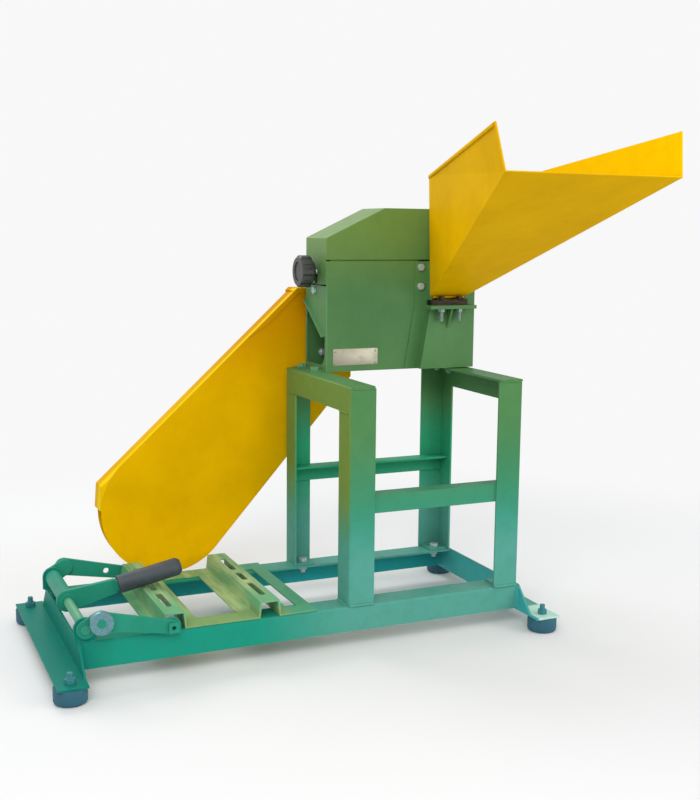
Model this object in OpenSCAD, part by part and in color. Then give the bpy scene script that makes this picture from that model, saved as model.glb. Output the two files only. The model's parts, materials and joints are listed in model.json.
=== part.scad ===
// Powered forage chopper on an angle-iron stand, with a sliding motor carriage and a belt-tension lever.
// Units are millimetres. X runs right, Y runs away from the feeding side, Z runs up from the floor.

/* [Base frame] */
// Length of the two rails between the crossbar webs
rail_length = 820; // [600:10:1200]
// Height of the rail web
rail_height = 46; // [35:60]
// Width of the rail top flange
rail_flange = 48; // [35:60]
// Thickness of the angle iron in the whole frame
angle_t = 4; // [3:6]
// Rail length beyond the right side of the stand
rail_overrun = 2; // [0:20]
// Length of each crossbar
crossbar_length = 450; // [400:700]
// Width of the crossbar foot flange
crossbar_flange = 50; // [40:70]
// Length over which the crossbar web tapers away outside the rail
crossbar_taper = 45; // [20:60]
// Distance of a foot from the end of its crossbar
foot_inset = 23; // [15:40]
// Diameter of a rubber foot
foot_d = 54; // [40:70]
// Height of a rubber foot
foot_height = 27; // [15:50]
// Thread diameter of the frame bolts
frame_bolt_d = 10; // [6:12]

/* [Stand] */
// Width of the stand
stand_width = 348.2; // [300:500]
// Depth of the stand, outside to outside
stand_depth = 310.7; // [280:450]
// Height of the stand above the rails
stand_height = 392; // [250:600]
// Width of the post flange seen from the front
post_width = 50; // [40:60]
// Width of the post flange seen from the side
post_side = 48; // [40:60]
// Height of the top bar web
top_bar_height = 47; // [30:60]
// Width of the top bar flange
top_bar_flange = 48; // [40:60]
// Height of the mid rail's upper face above the rails
mid_rail_top = 197; // [120:300]
// Height and width of the mid rail angle
mid_rail_size = 33; // [25:50]
// Edge length of the post foot tab
post_tab = 40; // [30:44]

/* [Casing] */
// Distance from the stand's left side to the casing's left side
casing_left = 43; // [20:60]
// Width of the casing
casing_width = 305; // [290:340]
// Depth of the casing
casing_depth = 104; // [100:160]
// Overhang of the casing behind the stand
casing_overhang = 5.3; // [0:20]
// Full height of the casing with its hood
casing_height = 310; // [290:360]
// Height of the front and rear plates
plate_height = 209.5; // [180:240]
// Sheet thickness of the casing
sheet_t = 2.5; // [2:4]
// Height of the left wall
left_wall_height = 162.5; // [150:180]
// Height of the right wall
right_wall_height = 183; // [150:185]
// Lowest point of the belt opening above the casing bottom
belt_open_bottom = 11; // [6:30]
// Highest point of the belt opening above the casing bottom
belt_open_top = 131; // [90:140]
// Height of the belt opening at its front edge
belt_open_front = 66; // [50:90]
// Radius of the lower front corner of the belt opening
belt_open_r = 24; // [10:30]
// Width of the lip bent outward along the belt opening
belt_lip = 8; // [5:15]
// Length of the left foot tabs
foot_tab_length = 29; // [20:35]
// Width of one left foot tab
foot_tab_width = 26; // [20:35]

/* [Hood] */
// Gap between the hood and the plates
seam = 2.5; // [1:5]
// Length of the sloping flank of the hood, measured across
hood_slope_run = 120; // [60:140]
// Drop of the sloping flank
hood_slope_drop = 57; // [30:80]
// Length of the right flank, measured across
hood_right_run = 80; // [50:140]
// Height of the hood's right skirt above the hinge axis
skirt_lift = 9; // [8:14]
// Inset of both skirts from the hood's front and back
skirt_inset = 5; // [3:10]
// Height of the clamp knob and of the hinge axis above the casing bottom
latch_height = 189; // [175:195]
// Diameter of the hinge barrel
hinge_barrel_d = 13; // [10:16]
// Diameter of the hinge pin
hinge_pin_d = 7; // [5:9]
// Distance of the hinge axis from the casing's right side
hinge_offset = 8; // [7:12]
// Diameter of the clamp knob
knob_d = 62; // [40:70]
// Thickness of the clamp knob
knob_t = 30; // [20:40]
// Diameter of the clamp stud
stud_d = 10; // [8:12]
// Gap between the knob and the hood skirt
knob_gap = 8; // [1.3:12]

/* [Feed mouth] */
// Depth of the mouthpiece in front of the casing
mouth_depth = 27; // [20:50]
// Distance from the casing's left side to the mouthpiece
mouth_left = 208; // [180:215]
// Slant of the lower left edge of the mouthpiece
mouth_slant = 20; // [10:30]
// Height above the casing bottom where the slant starts
mouth_slant_top = 123; // [100:140]
// Width of the mounting strip of the mouthpiece
mouth_strip = 22; // [18:30]
// Width of the throat
throat_width = 67; // [50:72]
// Middle of the throat measured from the casing's left side
throat_mid = 246; // [240:250]
// Height of the throat's lower edge above the casing bottom
throat_bottom = 126; // [110:140]
// Height of the throat
throat_height = 80; // [60:82]
// Thickness of the blade shelf
shelf_t = 7; // [5:10]
// Depth of the blade shelf
shelf_depth = 25; // [20:40]
// Width of the blade shelf
shelf_width = 100; // [80:104]
// Thickness of the counter blade
counter_blade_t = 10; // [6:14]
// Length of the counter blade in the feeding direction
counter_blade_length = 51.3; // [40:60]
// Thread diameter of the counter blade bolts
blade_bolt_d = 8; // [6:10]

/* [Hopper] */
// Length of the hopper in the feeding direction
hopper_length = 471.4; // [300:600]
// Rise of the hopper floor from the throat to the lip
hopper_rise = 214.3; // [100:300]
// Width of the hopper floor at the lip
hopper_lip_width = 332.8; // [250:400]
// Width of the hopper floor at the throat
hopper_throat_width = 77.4; // [70:100]
// Height of the hopper floor at the throat above the throat edge
hopper_floor_lift = 15.8; // [13:20]
// Height of the hopper walls at the lip
hopper_wall_front = 74.5; // [50:120]
// Height of the left wall at the casing
hopper_wall_rear_left = 231.2; // [150:260]
// Height of the right wall at the casing
hopper_wall_rear_right = 202; // [150:260]
// Outward flare of the walls at the lip
hopper_flare = 9.3; // [0:30]
// Backward lean of the walls' front edge
hopper_lean = 17; // [0:40]
// Outward flare of the walls at the casing
hopper_flare_rear = 7.3; // [0:20]
// Sheet thickness of the hopper
hopper_t = 2; // [1.5:3]
// Height of the hopper's rear sheet above the throat
hopper_back_height = 128; // [60:140]

/* [Chute] */
// Distance from the casing's back to the chute
chute_neck = 16; // [12:30]
// Width of the chute, outside to outside
chute_width = 50; // [40:80]
// Sheet thickness of the chute
chute_t = 2; // [1.5:3]
// Height of the chute's top above the casing bottom
chute_top = 154; // [130:158]
// Left end of the level top, measured left of the casing's left side
chute_level = 12; // [0:40]
// Right end of the chute, from the casing's left side
chute_right = 105; // [90:106]
// Radius of the round lower end
chute_end_r = 128; // [90:140]
// Position of the round end's centre left of the stand
chute_end_x = 236; // [150:300]
// Height of the round end's centre above the rails
chute_end_z = 124; // [110:200]
// Lower end of the chute's right edge above the rails
chute_right_low = 366; // [340:372]
// Horizontal reach of the folded lip down the slope
chute_lip_run = 101; // [60:200]
// Depth of the lip folded over the front wall
chute_lip = 9; // [5:15]
// Left edge of the discharge window from the casing's left side
window_left = 42; // [40:60]
// Length of the end flap
chute_flap = 45; // [20:60]
// Depth of the sunken cover below the front wall's edge
chute_drop = 3.5; // [3:10]

/* [Rotor] */
// Diameter of the flywheel
wheel_d = 280; // [240:284]
// Height of the axle above the casing bottom
axle_height = 152.5; // [148:158]
// Gap between the casing's front plate and the knives
knife_gap = 4; // [2:6]
// Width of the flywheel rim
rim_width = 28; // [22:34]
// Depth of the flywheel rim
rim_depth = 18; // [14:24]
// Top width of the belt groove
groove_width = 17; // [10:20]
// Depth of the belt groove
groove_depth = 12; // [8:13]
// Diameter of the hub
hub_d = 64; // [50:80]
// Length of the hub
hub_length = 42; // [30:50]
// Diameter of the rotor shaft
shaft_d = 25; // [20:25]
// Width of a knife
knife_width = 46; // [30:55]
// Thickness of a knife
knife_t = 5.8; // [4:6]
// Depth of a paddle behind the rim
paddle_depth = 48; // [30:55]
// Thickness of a paddle
paddle_t = 5; // [3:8]
// Turn of the wheel at rest in degrees
wheel_turn = 60; // [0:180]

/* [Bearing housing] */
// Edge length of the square housing flange
flange_size = 86; // [84:90]
// Thickness of the housing flange
flange_t = 10; // [8:14]
// Outer diameter of the housing tube
housing_d = 66; // [62:74]
// Length of the housing
housing_length = 98; // [70:120]
// Outer diameter of a ball bearing
bearing_od = 52; // [47:52]
// Width of a ball bearing
bearing_w = 15; // [12:15]
// Thickness of the end cap
cap_t = 5; // [4:8]

/* [Belt tensioner] */
// Distance of the lever pivot from the left end of the rails
pivot_inset = 8; // [5:30]
// Height of the lever pivot above the rails
pivot_height = 22; // [20:30]
// Diameter of the lever shaft
lever_shaft_d = 16; // [12:20]
// Outer radius of a pivot ear
ear_r = 18; // [15:21]
// Thickness of a pivot ear
ear_t = 6; // [4:10]
// Radius of the crank
crank_r = 26.2; // [20:30]
// Angle of the crank at rest in degrees
crank_angle = 29.7; // [10:45]
// Half height of the link at the crank pin
link_eye_r = 16; // [14:18]
// Half height of the link at the lug
link_tail_r = 11.5; // [10:14]
// Thickness of the links
link_t = 6; // [4:8]
// Thickness of the cranks and lugs
crank_t = 6; // [4:8]
// Diameter of the crank pins
crank_pin_d = 15; // [10:16]
// Diameter of the shaft collar
collar_d = 38; // [28:40]
// Width of the shaft collar
collar_w = 11; // [8:16]
// Height of the lug hole above the rails
lug_height = 10; // [8:14]
// Diameter of the lug pins
lug_pin_d = 10; // [8:12]
// Angle of the lever at rest in degrees
lever_angle = 11.5; // [10:20]
// Radius where the grip starts
grip_start = 90; // [70:120]
// Length of the grip
grip_length = 114; // [90:150]
// Diameter of the grip
grip_d = 32; // [26:34]
// Thickness of the lever bar
lever_t = 9; // [6:12]
// Height of the lever bar at the hub
lever_hub_h = 38; // [30:40]
// Height of the lever bar at the grip
lever_tip_h = 26; // [18:28]
// Outer diameter of the hub sleeve
sleeve_d = 28; // [22:32]

/* [Motor carriage] */
// Distance of the left hat's middle left of the stand
left_hat_x = 314; // [300:330]
// Distance of the right hat's middle left of the stand
right_hat_x = 146.5; // [140:160]
// Height of the hats
hat_height = 30; // [20:32]
// Width of a hat's top
hat_top = 35; // [28:45]
// Lean of a hat's walls
hat_lean = 3; // [0:8]
// Sheet thickness of the carriage
hat_t = 3; // [2:5]
// Width of the left hat's left flange
hat_flange_a = 18; // [14:30]
// Width of the flanges that face the other hat
hat_flange_b = 27; // [20:32]
// Width of the right hat's outer flange
hat_flange_c = 66; // [55:80]
// Width of the long window in the outer flange
hat_window = 20; // [10:24]
// Distance from the hat to the long window
hat_window_gap = 21; // [10:30]
// Width of the straps that join the hats
strap_width = 40; // [30:60]
// Length of the outer motor slots
slot_length = 78; // [40:90]
// Length of the middle motor slots
mid_slot_length = 50; // [30:60]
// Width of all motor slots
slot_width = 11.5; // [9:14]
// Spacing of the outer motor slots
slot_spacing = 161; // [140:190]
// Half-length of a lug plate
lug_half = 17; // [15:22]

/* [Hidden] */
$fn = 48;
eps = 0.01;
// Small gap between pieces that move on each other
play = 0.3;
// Gap between the carriage and the rails
glide = 0.2;
// Radial clearance of a running fit
fit = 0.05;
// Radial clearance of a bolt in its hole
bolt_play = 0.25;

rail_right = stand_width + rail_overrun;
rail_left = rail_right - rail_length;
floor_z = -(rail_height + angle_t + foot_height);
mid_y = stand_depth / 2;
bar_front = mid_y - crossbar_length / 2;
bar_back = mid_y + crossbar_length / 2;
foot_left_x = rail_left - crossbar_flange / 2 - 1;
foot_right_x = rail_right + crossbar_flange / 2 + 1;
foot_front_y = bar_front + foot_inset;
foot_back_y = bar_back - foot_inset;
flange_top = -rail_height;

post_bolt = angle_t + post_tab / 2 + 2;
post_top = stand_height - angle_t;
side_top = stand_height - top_bar_height;

cx0 = casing_left;
cx1 = casing_left + casing_width;
cz0 = stand_height;
cz1 = stand_height + casing_height;
cy1 = stand_depth + casing_overhang;
cy0 = cy1 - casing_depth;
right_base_x = stand_width - top_bar_flange / 2;
right_base_end = max(cx1, right_base_x + frame_bolt_d * 1.4);
plate_top = cz0 + plate_height;
hood_low = plate_top + seam;
latch_z = cz0 + latch_height;
latch_y = (cy0 + cy1) / 2;
skirt_low = cz0 + left_wall_height + seam;
hood_right_z = cz1 - hood_slope_drop * hood_right_run / hood_slope_run;
hinge_x = cx1 + hinge_offset;
notch_w = stud_d + 2;
tab_face = cx0 + sheet_t + 2.8;
tab_t = 3;
knob_x1 = cx0 - knob_gap;
knob_x0 = knob_x1 - knob_t;

my0 = cy0 - mouth_depth;
mx0 = cx0 + mouth_left;
throat_x0 = cx0 + throat_mid - throat_width / 2;
throat_z0 = cz0 + throat_bottom;
throat_x = cx0 + throat_mid;
shelf_z = throat_z0 - shelf_t;
mouth_bolt_drop = 8;
mouth_bolt_rise = 35;
blade_top = throat_z0 + counter_blade_t;
blade_back = cy0 + sheet_t + knife_gap - 0.8;
blade_front = blade_back - counter_blade_length;
blade_bolt_y = blade_front + 9;
blade_bolt_gap = throat_width / 2 - 14;

hop_mid = throat_x - 1.2;
hop_z0 = throat_z0 + hopper_floor_lift;
hop_z1 = hop_z0 + hopper_rise;
hop_y1 = my0;
hop_y0 = my0 - hopper_length;

axle_x = (cx0 + cx1) / 2;
axle_z = cz0 + axle_height;
wheel_r = wheel_d / 2;
knife_y0 = cy0 + sheet_t + knife_gap;
arm_y0 = knife_y0 + knife_t;
rim_y0 = arm_y0 + 1;
rim_y1 = rim_y0 + rim_width;
hub_y0 = rim_y0 + 12;
hub_y1 = hub_y0 + hub_length;
arm_t = 12;
back_y = cy1;
bearing_1 = back_y + 13;
bearing_2 = back_y + housing_length - bearing_w - 5;
housing_end = back_y + housing_length;
ball_r = 3.9;
ball_track = (shaft_d + bearing_od) / 4;
race_gap = 2.5;

chute_y0 = cy1 + chute_neck;
chute_y1 = chute_y0 + chute_width;
chute_top_z = cz0 + chute_top;
chute_lx = cx0 - chute_level;
chute_rx = cx0 + chute_right;
window_x0 = cx0 + window_left;
window_z0 = cz0 + 8;

pivot_x = rail_left + pivot_inset;
pivot_z = pivot_height;
pin_x = pivot_x + crank_r * cos(crank_angle);
pin_z = pivot_z + crank_r * sin(crank_angle);
lug_x = -left_hat_x - 6;
link_dx = lug_x - pin_x;
link_dz = lug_height - pin_z;
layer_1 = play;
layer_2 = layer_1 + crank_t;
layer_3 = layer_2 + play;
layer_4 = layer_3 + link_t;
ear_y = 2;

x_low = rail_left - crossbar_flange - 3;
x_high = hop_mid + hopper_lip_width / 2 + hopper_flare;
y_low = hop_y0;
y_high = housing_end + cap_t;
origin = [(x_low + x_high) / 2, (y_low + y_high) / 2, floor_z];

// Colours of the finished pieces
green = [0.29, 0.52, 0.33];
frame_green = [0.24, 0.55, 0.42];
yellow = [0.90, 0.68, 0.05];
zinc = [0.72, 0.73, 0.74];
steel = [0.55, 0.56, 0.58];
iron = [0.33, 0.34, 0.35];
black = [0.10, 0.10, 0.11];

// Shared shapes
module place() {
    translate(-origin) children();
}

module box(a, b) {
    translate(a) cube(b - a);
}

module hex(flats, height) {
    cylinder(d = flats / cos(30), h = height, $fn = 6);
}

// Turns a shape drawn upright so that its height runs along +Y
module along_y(x, y, z) {
    translate([x, y, z]) rotate([-90, 0, 0]) children();
}

// Turns a shape drawn upright so that its height runs along +X
module along_x(x, y, z) {
    translate([x, y, z]) rotate([0, 90, 0]) children();
}

// Extrudes an outline given in X and Z from y0 to y1
module sheet_xz(y0, y1) {
    translate([0, y1, 0]) rotate([90, 0, 0]) linear_extrude(y1 - y0) children();
}

// Extrudes an outline given in Y and Z from x0 to x1
module sheet_yz(x0, x1) {
    translate([x0, 0, 0]) rotate([90, 0, 90]) linear_extrude(x1 - x0) children();
}

module mirror_y() {
    translate([0, stand_depth, 0]) mirror([0, 1, 0]) children();
}

module mirror_x() {
    translate([stand_width, 0, 0]) mirror([1, 0, 0]) children();
}

// Hex bolt with its head above z = 0, its shank through the grip and a nut below
module through_bolt(d, grip, tail) {
    hex(d * 1.6, d * 0.6);
    translate([0, 0, -grip - tail]) cylinder(d = d, h = grip + tail + eps);
    translate([0, 0, -grip - d * 0.8]) hex(d * 1.6, d * 0.8);
}

// Hex bolt with its head above z = 0 and a plain shank below
module set_bolt(d, length) {
    hex(d * 1.6, d * 0.6);
    translate([0, 0, -length]) cylinder(d = d, h = length + eps);
}

module bolt_hole(d, low, high) {
    translate([0, 0, low]) cylinder(d = d + 2 * bolt_play, h = high - low);
}

// Base frame
module rail() {
    difference() {
        union() {
            box([rail_left, 0, -rail_height], [rail_right, angle_t, -angle_t]);
            box([rail_left, angle_t, -angle_t], [rail_right, rail_flange, 0]);
            intersection() {
                translate([rail_left, angle_t, -angle_t]) rotate([0, 90, 0]) cylinder(r = angle_t, h = rail_length);
                box([rail_left, 0, -angle_t], [rail_right, angle_t, 0]);
            }
        }
        for (x = [post_bolt, stand_width - post_bolt])
            translate([x, post_bolt, 0]) bolt_hole(frame_bolt_d, -angle_t - 1, 1);
    }
}

module front_rail() {
    color(frame_green) rail();
}

module rear_rail() {
    color(frame_green) mirror_y() rail();
}

// Crossbar with its web at x = 0 and its flange towards -X
module crossbar() {
    difference() {
        union() {
            sheet_yz(-angle_t, 0) polygon([[-crossbar_taper, flange_top], [0, 0], [stand_depth, 0],
                [stand_depth + crossbar_taper, flange_top]]);
            box([-crossbar_flange, bar_front, flange_top - angle_t], [0, bar_back, flange_top]);
        }
        for (y = [foot_front_y, foot_back_y])
            translate([-crossbar_flange / 2 - 1, y, flange_top]) bolt_hole(frame_bolt_d, -angle_t - 1, 1);
    }
}

module left_crossbar() {
    color(frame_green) translate([rail_left, 0, 0]) crossbar();
}

module right_crossbar() {
    color(frame_green) translate([rail_right, 0, 0]) mirror([1, 0, 0]) crossbar();
}

module at_feet() {
    for (x = [foot_left_x, foot_right_x])
        for (y = [foot_front_y, foot_back_y])
            translate([x, y, floor_z]) children();
}

module rubber_feet() {
    edge = 6;
    head_room = 13;
    color(black) at_feet() difference() {
        rotate_extrude() union() {
            square([foot_d / 2 - edge, foot_height]);
            translate([0, edge]) square([foot_d / 2, foot_height - edge]);
            translate([foot_d / 2 - edge, edge]) circle(edge);
        }
        translate([0, 0, -1]) cylinder(d = frame_bolt_d + 2 * bolt_play, h = foot_height + 2);
        translate([0, 0, -1]) cylinder(r = frame_bolt_d, h = head_room + 1);
    }
}

module foot_bolts() {
    tail = 12;
    head_room = 13;
    grip = foot_height - head_room + angle_t;
    color(zinc) at_feet() translate([0, 0, head_room]) mirror([0, 0, 1]) through_bolt(frame_bolt_d, grip, tail);
}

// Stand
module post() {
    difference() {
        union() {
            box([angle_t, 0, 0], [post_width, angle_t, post_top]);
            box([0, angle_t, 0], [angle_t, post_side, side_top]);
            intersection() {
                translate([angle_t, angle_t, 0]) cylinder(r = angle_t, h = post_top);
                box([0, 0, 0], [angle_t, angle_t, post_top]);
            }
            box([angle_t, angle_t, 0], [angle_t + post_tab, angle_t + post_tab, angle_t]);
        }
        translate([post_bolt, post_bolt, 0]) bolt_hole(frame_bolt_d, -1, angle_t + 1);
    }
}

module front_left_post() {
    color(frame_green) post();
}

module front_right_post() {
    color(frame_green) mirror_x() post();
}

module rear_left_post() {
    color(frame_green) mirror_y() post();
}

module rear_right_post() {
    color(frame_green) mirror_x() mirror_y() post();
}

module top_bar() {
    box([0, angle_t, side_top], [angle_t, stand_depth - angle_t, post_top]);
    box([angle_t, 0, post_top], [top_bar_flange, stand_depth, stand_height]);
    intersection() {
        along_y(angle_t, 0, post_top) cylinder(r = angle_t, h = stand_depth);
        box([0, 0, post_top], [angle_t, stand_depth, stand_height]);
    }
}

module left_top_bar() {
    color(frame_green) difference() {
        top_bar();
        at_left_tabs() bolt_hole(frame_bolt_d, -angle_t - 1, 1);
    }
}

module right_top_bar() {
    color(frame_green) difference() {
        mirror_x() top_bar();
        at_right_base() bolt_hole(frame_bolt_d, -angle_t - 1, 1);
    }
}

module mid_rail() {
    low = mid_rail_top - mid_rail_size;
    box([angle_t, angle_t, low], [stand_width - angle_t, 2 * angle_t, mid_rail_top]);
    box([angle_t, 2 * angle_t, mid_rail_top - angle_t],
        [stand_width - angle_t, angle_t + mid_rail_size, mid_rail_top]);
}

module front_mid_rail() {
    color(frame_green) mid_rail();
}

module rear_mid_rail() {
    color(frame_green) mirror_y() mid_rail();
}

module post_bolts() {
    tail = 14;
    color(zinc)
    for (x = [post_bolt, stand_width - post_bolt])
        for (y = [post_bolt, stand_depth - post_bolt])
            translate([x, y, angle_t]) through_bolt(frame_bolt_d, 2 * angle_t, tail);
}

// Casing
module at_left_tabs() {
    for (y = [cy0 + sheet_t + 18, cy1 - sheet_t - 18])
        translate([cx0 - foot_tab_length / 2, y, cz0]) children();
}

module at_right_base() {
    for (y = [cy0 + sheet_t + 24, cy1 - sheet_t - 24])
        translate([right_base_x, y, cz0]) children();
}

module at_mouth_bolts() {
    for (z = [throat_z0 + throat_height - mouth_bolt_drop, throat_z0 + mouth_bolt_rise])
        along_y(mx0 - mouth_strip / 2, cy0 - sheet_t, z) rotate([180, 0, 0]) children();
}

module casing_front_plate() {
    color(green) difference() {
        box([cx0, cy0, cz0], [cx1, cy0 + sheet_t, plate_top]);
        box([throat_x0, cy0 - 1, throat_z0], [throat_x0 + throat_width, cy0 + sheet_t + 1, throat_z0 + throat_height]);
        at_mouth_bolts() bolt_hole(blade_bolt_d, -2 * sheet_t - 1, 1);
    }
}

module at_flange_bolts() {
    for (dx = [-1, 1])
        for (dz = [-1, 1])
            along_y(axle_x + dx * (flange_size / 2 - 13), back_y, axle_z + dz * (flange_size / 2 - 13)) children();
}

module at_chute_bolts() {
    for (z = [window_z0 + 20, chute_top_z - 30])
        along_y(window_x0 - 9, back_y, z) children();
}

module window_outline() {
    translate([window_x0, window_z0]) square([chute_rx - window_x0 - chute_t, chute_top_z - chute_t - window_z0]);
}

module casing_rear_plate() {
    color(green) difference() {
        box([cx0, cy1 - sheet_t, cz0], [cx1, cy1, plate_top]);
        sheet_xz(cy1 - sheet_t - 1, cy1 + 1) window_outline();
        along_y(axle_x, cy1 - sheet_t - 1, axle_z) cylinder(d = 40, h = sheet_t + 2);
        at_flange_bolts() bolt_hole(frame_bolt_d, -sheet_t - 1, 1);
        at_chute_bolts() bolt_hole(blade_bolt_d, -sheet_t - 1, 1);
    }
}

// Outline of the belt opening in Y and Z
module belt_outline() {
    f = cy0 + 2 * sheet_t + 2;
    b = cy1 - 2 * sheet_t;
    r = belt_open_r;
    low = cz0 + belt_open_bottom;
    union() {
        polygon([[f, low + r], [f + r, low + r], [f + r, low], [b, low], [b, cz0 + belt_open_top],
            [f, cz0 + belt_open_front]]);
        translate([f + r, low + r]) circle(r);
    }
}

module belt_lip_bar() {
    f = cy0 + 2 * sheet_t + 2;
    b = cy1 - 2 * sheet_t;
    rise = belt_open_top - belt_open_front;
    run = b - f;
    translate([cx0 - belt_lip, f, cz0 + belt_open_front]) rotate([atan2(rise, run), 0, 0])
        cube([belt_lip + sheet_t, sqrt(rise * rise + run * run), sheet_t]);
}

module casing_wrap() {
    y0 = cy0 + sheet_t;
    y1 = cy1 - sheet_t;
    color(green) difference() {
        union() {
            difference() {
                box([cx0, y0, cz0], [cx0 + sheet_t, y1, cz0 + left_wall_height]);
                sheet_yz(cx0 - 1, cx0 + sheet_t + 1) belt_outline();
            }
            box([cx0, y0, cz0], [right_base_end, y1, cz0 + sheet_t]);
            box([cx1 - sheet_t, y0, cz0], [cx1, y1, cz0 + right_wall_height]);
            belt_lip_bar();
            at_left_tabs() box([-foot_tab_length / 2, -foot_tab_width / 2, 0],
                [foot_tab_length / 2 + 1, foot_tab_width / 2, sheet_t]);
        }
        at_left_tabs() bolt_hole(frame_bolt_d, -1, sheet_t + 1);
        at_right_base() bolt_hole(frame_bolt_d, -1, sheet_t + 1);
        at_latch_bolt() bolt_hole(blade_bolt_d, -sheet_t - 1, 1);
    }
}

module at_latch_bolt() {
    along_x(cx0, latch_y + 5, cz0 + left_wall_height - 10) rotate([180, 0, 0]) children();
}

module casing_bolts() {
    color(zinc) {
        at_left_tabs() translate([0, 0, sheet_t]) through_bolt(frame_bolt_d, sheet_t + angle_t, 12);
        at_right_base() translate([0, 0, sheet_t]) through_bolt(frame_bolt_d, sheet_t + angle_t, 12);
        at_latch_bolt() set_bolt(blade_bolt_d, sheet_t + 2.8 + tab_t);
    }
}

module latch_tab() {
    half = 20;
    low = cz0 + left_wall_height - 22;
    color(green) difference() {
        union() {
            box([cx0 + sheet_t, latch_y - half, low], [tab_face + tab_t, latch_y + half, cz0 + left_wall_height - 2]);
            box([tab_face, latch_y - half, low], [tab_face + tab_t, latch_y + half, latch_z + 16]);
        }
        along_x(tab_face - 1, latch_y, latch_z) cylinder(d = stud_d + 2 * bolt_play, h = tab_t + 2);
        at_latch_bolt() bolt_hole(blade_bolt_d, -sheet_t - 4 - tab_t, 1);
    }
}

module knob_stud() {
    reach = tab_face - knob_x0 - 9;
    color(zinc) {
        along_x(tab_face - reach, latch_y, latch_z) cylinder(d = stud_d, h = reach + tab_t + eps);
        along_x(tab_face + tab_t, latch_y, latch_z) hex(stud_d * 1.6, stud_d * 0.6);
    }
}

module mouth_outline() {
    polygon([[mx0, plate_top - 0.5], [mx0, cz0 + mouth_slant_top], [mx0 - mouth_slant, cz0 + 2], [cx1, cz0 + 2],
        [cx1, plate_top - 0.5]]);
}

// Left side of the mouthpiece from above: side wall and mounting strip
module mouth_side() {
    polygon([[0, my0], [sheet_t, my0], [sheet_t, cy0], [-mouth_strip, cy0], [-mouth_strip, cy0 - sheet_t],
        [0, cy0 - sheet_t]]);
}

module mouthpiece() {
    slant_z = cz0 + mouth_slant_top;
    drop = mouth_slant_top - 2;
    lean = atan2(mouth_slant, drop);
    color(green) difference() {
        union() {
            sheet_xz(my0, my0 + sheet_t) mouth_outline();
            translate([mx0, 0, slant_z]) linear_extrude(plate_top - 0.5 - slant_z) mouth_side();
            intersection() {
                translate([mx0, 0, slant_z]) rotate([0, lean, 0]) translate([0, 0, -2 * drop])
                    linear_extrude(2 * drop + 20) mouth_side();
                box([cx0, my0, cz0 + 2], [cx1, cy0, slant_z]);
            }
            box([cx1 - sheet_t, my0, cz0 + 2], [cx1, cy0, plate_top - 0.5]);
        }
        box([throat_x0, my0 - 1, throat_z0], [throat_x0 + throat_width, my0 + sheet_t + 1, throat_z0 + throat_height]);
        at_mouth_bolts() bolt_hole(blade_bolt_d, -sheet_t - 1, 1);
    }
}

module mouthpiece_bolts() {
    color(zinc) at_mouth_bolts() set_bolt(blade_bolt_d, 2 * sheet_t - 0.3);
}

module at_blade_bolts() {
    for (dx = [-1, 1])
        translate([throat_x + dx * blade_bolt_gap, blade_bolt_y, blade_top]) children();
}

module blade_shelf() {
    gusset = 40;
    gusset_t = 4;
    y0 = my0 - shelf_depth;
    color(green) difference() {
        union() {
            box([throat_x - shelf_width / 2, y0, shelf_z], [throat_x + shelf_width / 2, my0, throat_z0]);
            sheet_yz(throat_x - gusset_t / 2, throat_x + gusset_t / 2)
                polygon([[y0 + 6, shelf_z], [y0 + 6, shelf_z + shelf_t / 2], [my0, shelf_z + shelf_t / 2],
                    [my0, shelf_z - gusset]]);
        }
        at_blade_bolts() bolt_hole(blade_bolt_d, -counter_blade_t - shelf_t - 1, 0);
    }
}

module counter_blade() {
    color(steel) difference() {
        union() {
            box([throat_x0 + play, blade_front, throat_z0], [throat_x0 + throat_width - play, blade_back, blade_top]);
            box([throat_x0 - 13, blade_front, throat_z0], [throat_x0 + throat_width - 3, my0 - play, blade_top]);
        }
        at_blade_bolts() bolt_hole(blade_bolt_d, -counter_blade_t - 1, 1);
    }
}

module counter_blade_bolts() {
    color(zinc) at_blade_bolts() translate([0, 0, hopper_t])
        through_bolt(blade_bolt_d, hopper_t + counter_blade_t + shelf_t, 24);
}

// Hopper walls as one folded sheet, drawn from its outer corners
module hopper_shell() {
    t = hopper_t;
    f = hopper_lip_width / 2;
    r = hopper_throat_width / 2;
    ft = f + hopper_flare;
    rt = r + hopper_flare_rear;
    yt = hop_y0 + hopper_lean;
    zt = hop_z1 + hopper_wall_front;
    za = hop_z0 + hopper_wall_rear_left;
    zb = hop_z0 + hopper_wall_rear_right;
    m = hop_mid;
    points = [
        [m - f, hop_y0, hop_z1], [m + f, hop_y0, hop_z1], [m + r, hop_y1, hop_z0], [m - r, hop_y1, hop_z0],
        [m - ft, yt, zt], [m + ft, yt, zt], [m + rt, hop_y1, zb], [m - rt, hop_y1, za],
        [m - f + t, hop_y0, hop_z1 + t], [m + f - t, hop_y0, hop_z1 + t],
        [m + r - t, hop_y1, hop_z0 + t], [m - r + t, hop_y1, hop_z0 + t],
        [m - ft + t, yt, zt], [m + ft - t, yt, zt], [m + rt - t, hop_y1, zb], [m - rt + t, hop_y1, za]];
    faces = [
        [0, 1, 2], [0, 2, 3], [8, 10, 9], [8, 11, 10],
        [0, 3, 7], [0, 7, 4], [8, 15, 11], [8, 12, 15],
        [1, 6, 2], [1, 5, 6], [9, 10, 14], [9, 14, 13],
        [0, 4, 12], [0, 12, 8], [1, 9, 13], [1, 13, 5], [0, 8, 9], [0, 9, 1],
        [3, 11, 15], [3, 15, 7], [2, 6, 14], [2, 14, 10], [3, 2, 10], [3, 10, 11],
        [4, 7, 15], [4, 15, 12], [5, 13, 14], [5, 14, 6]];
    polyhedron(points, faces);
}

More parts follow.
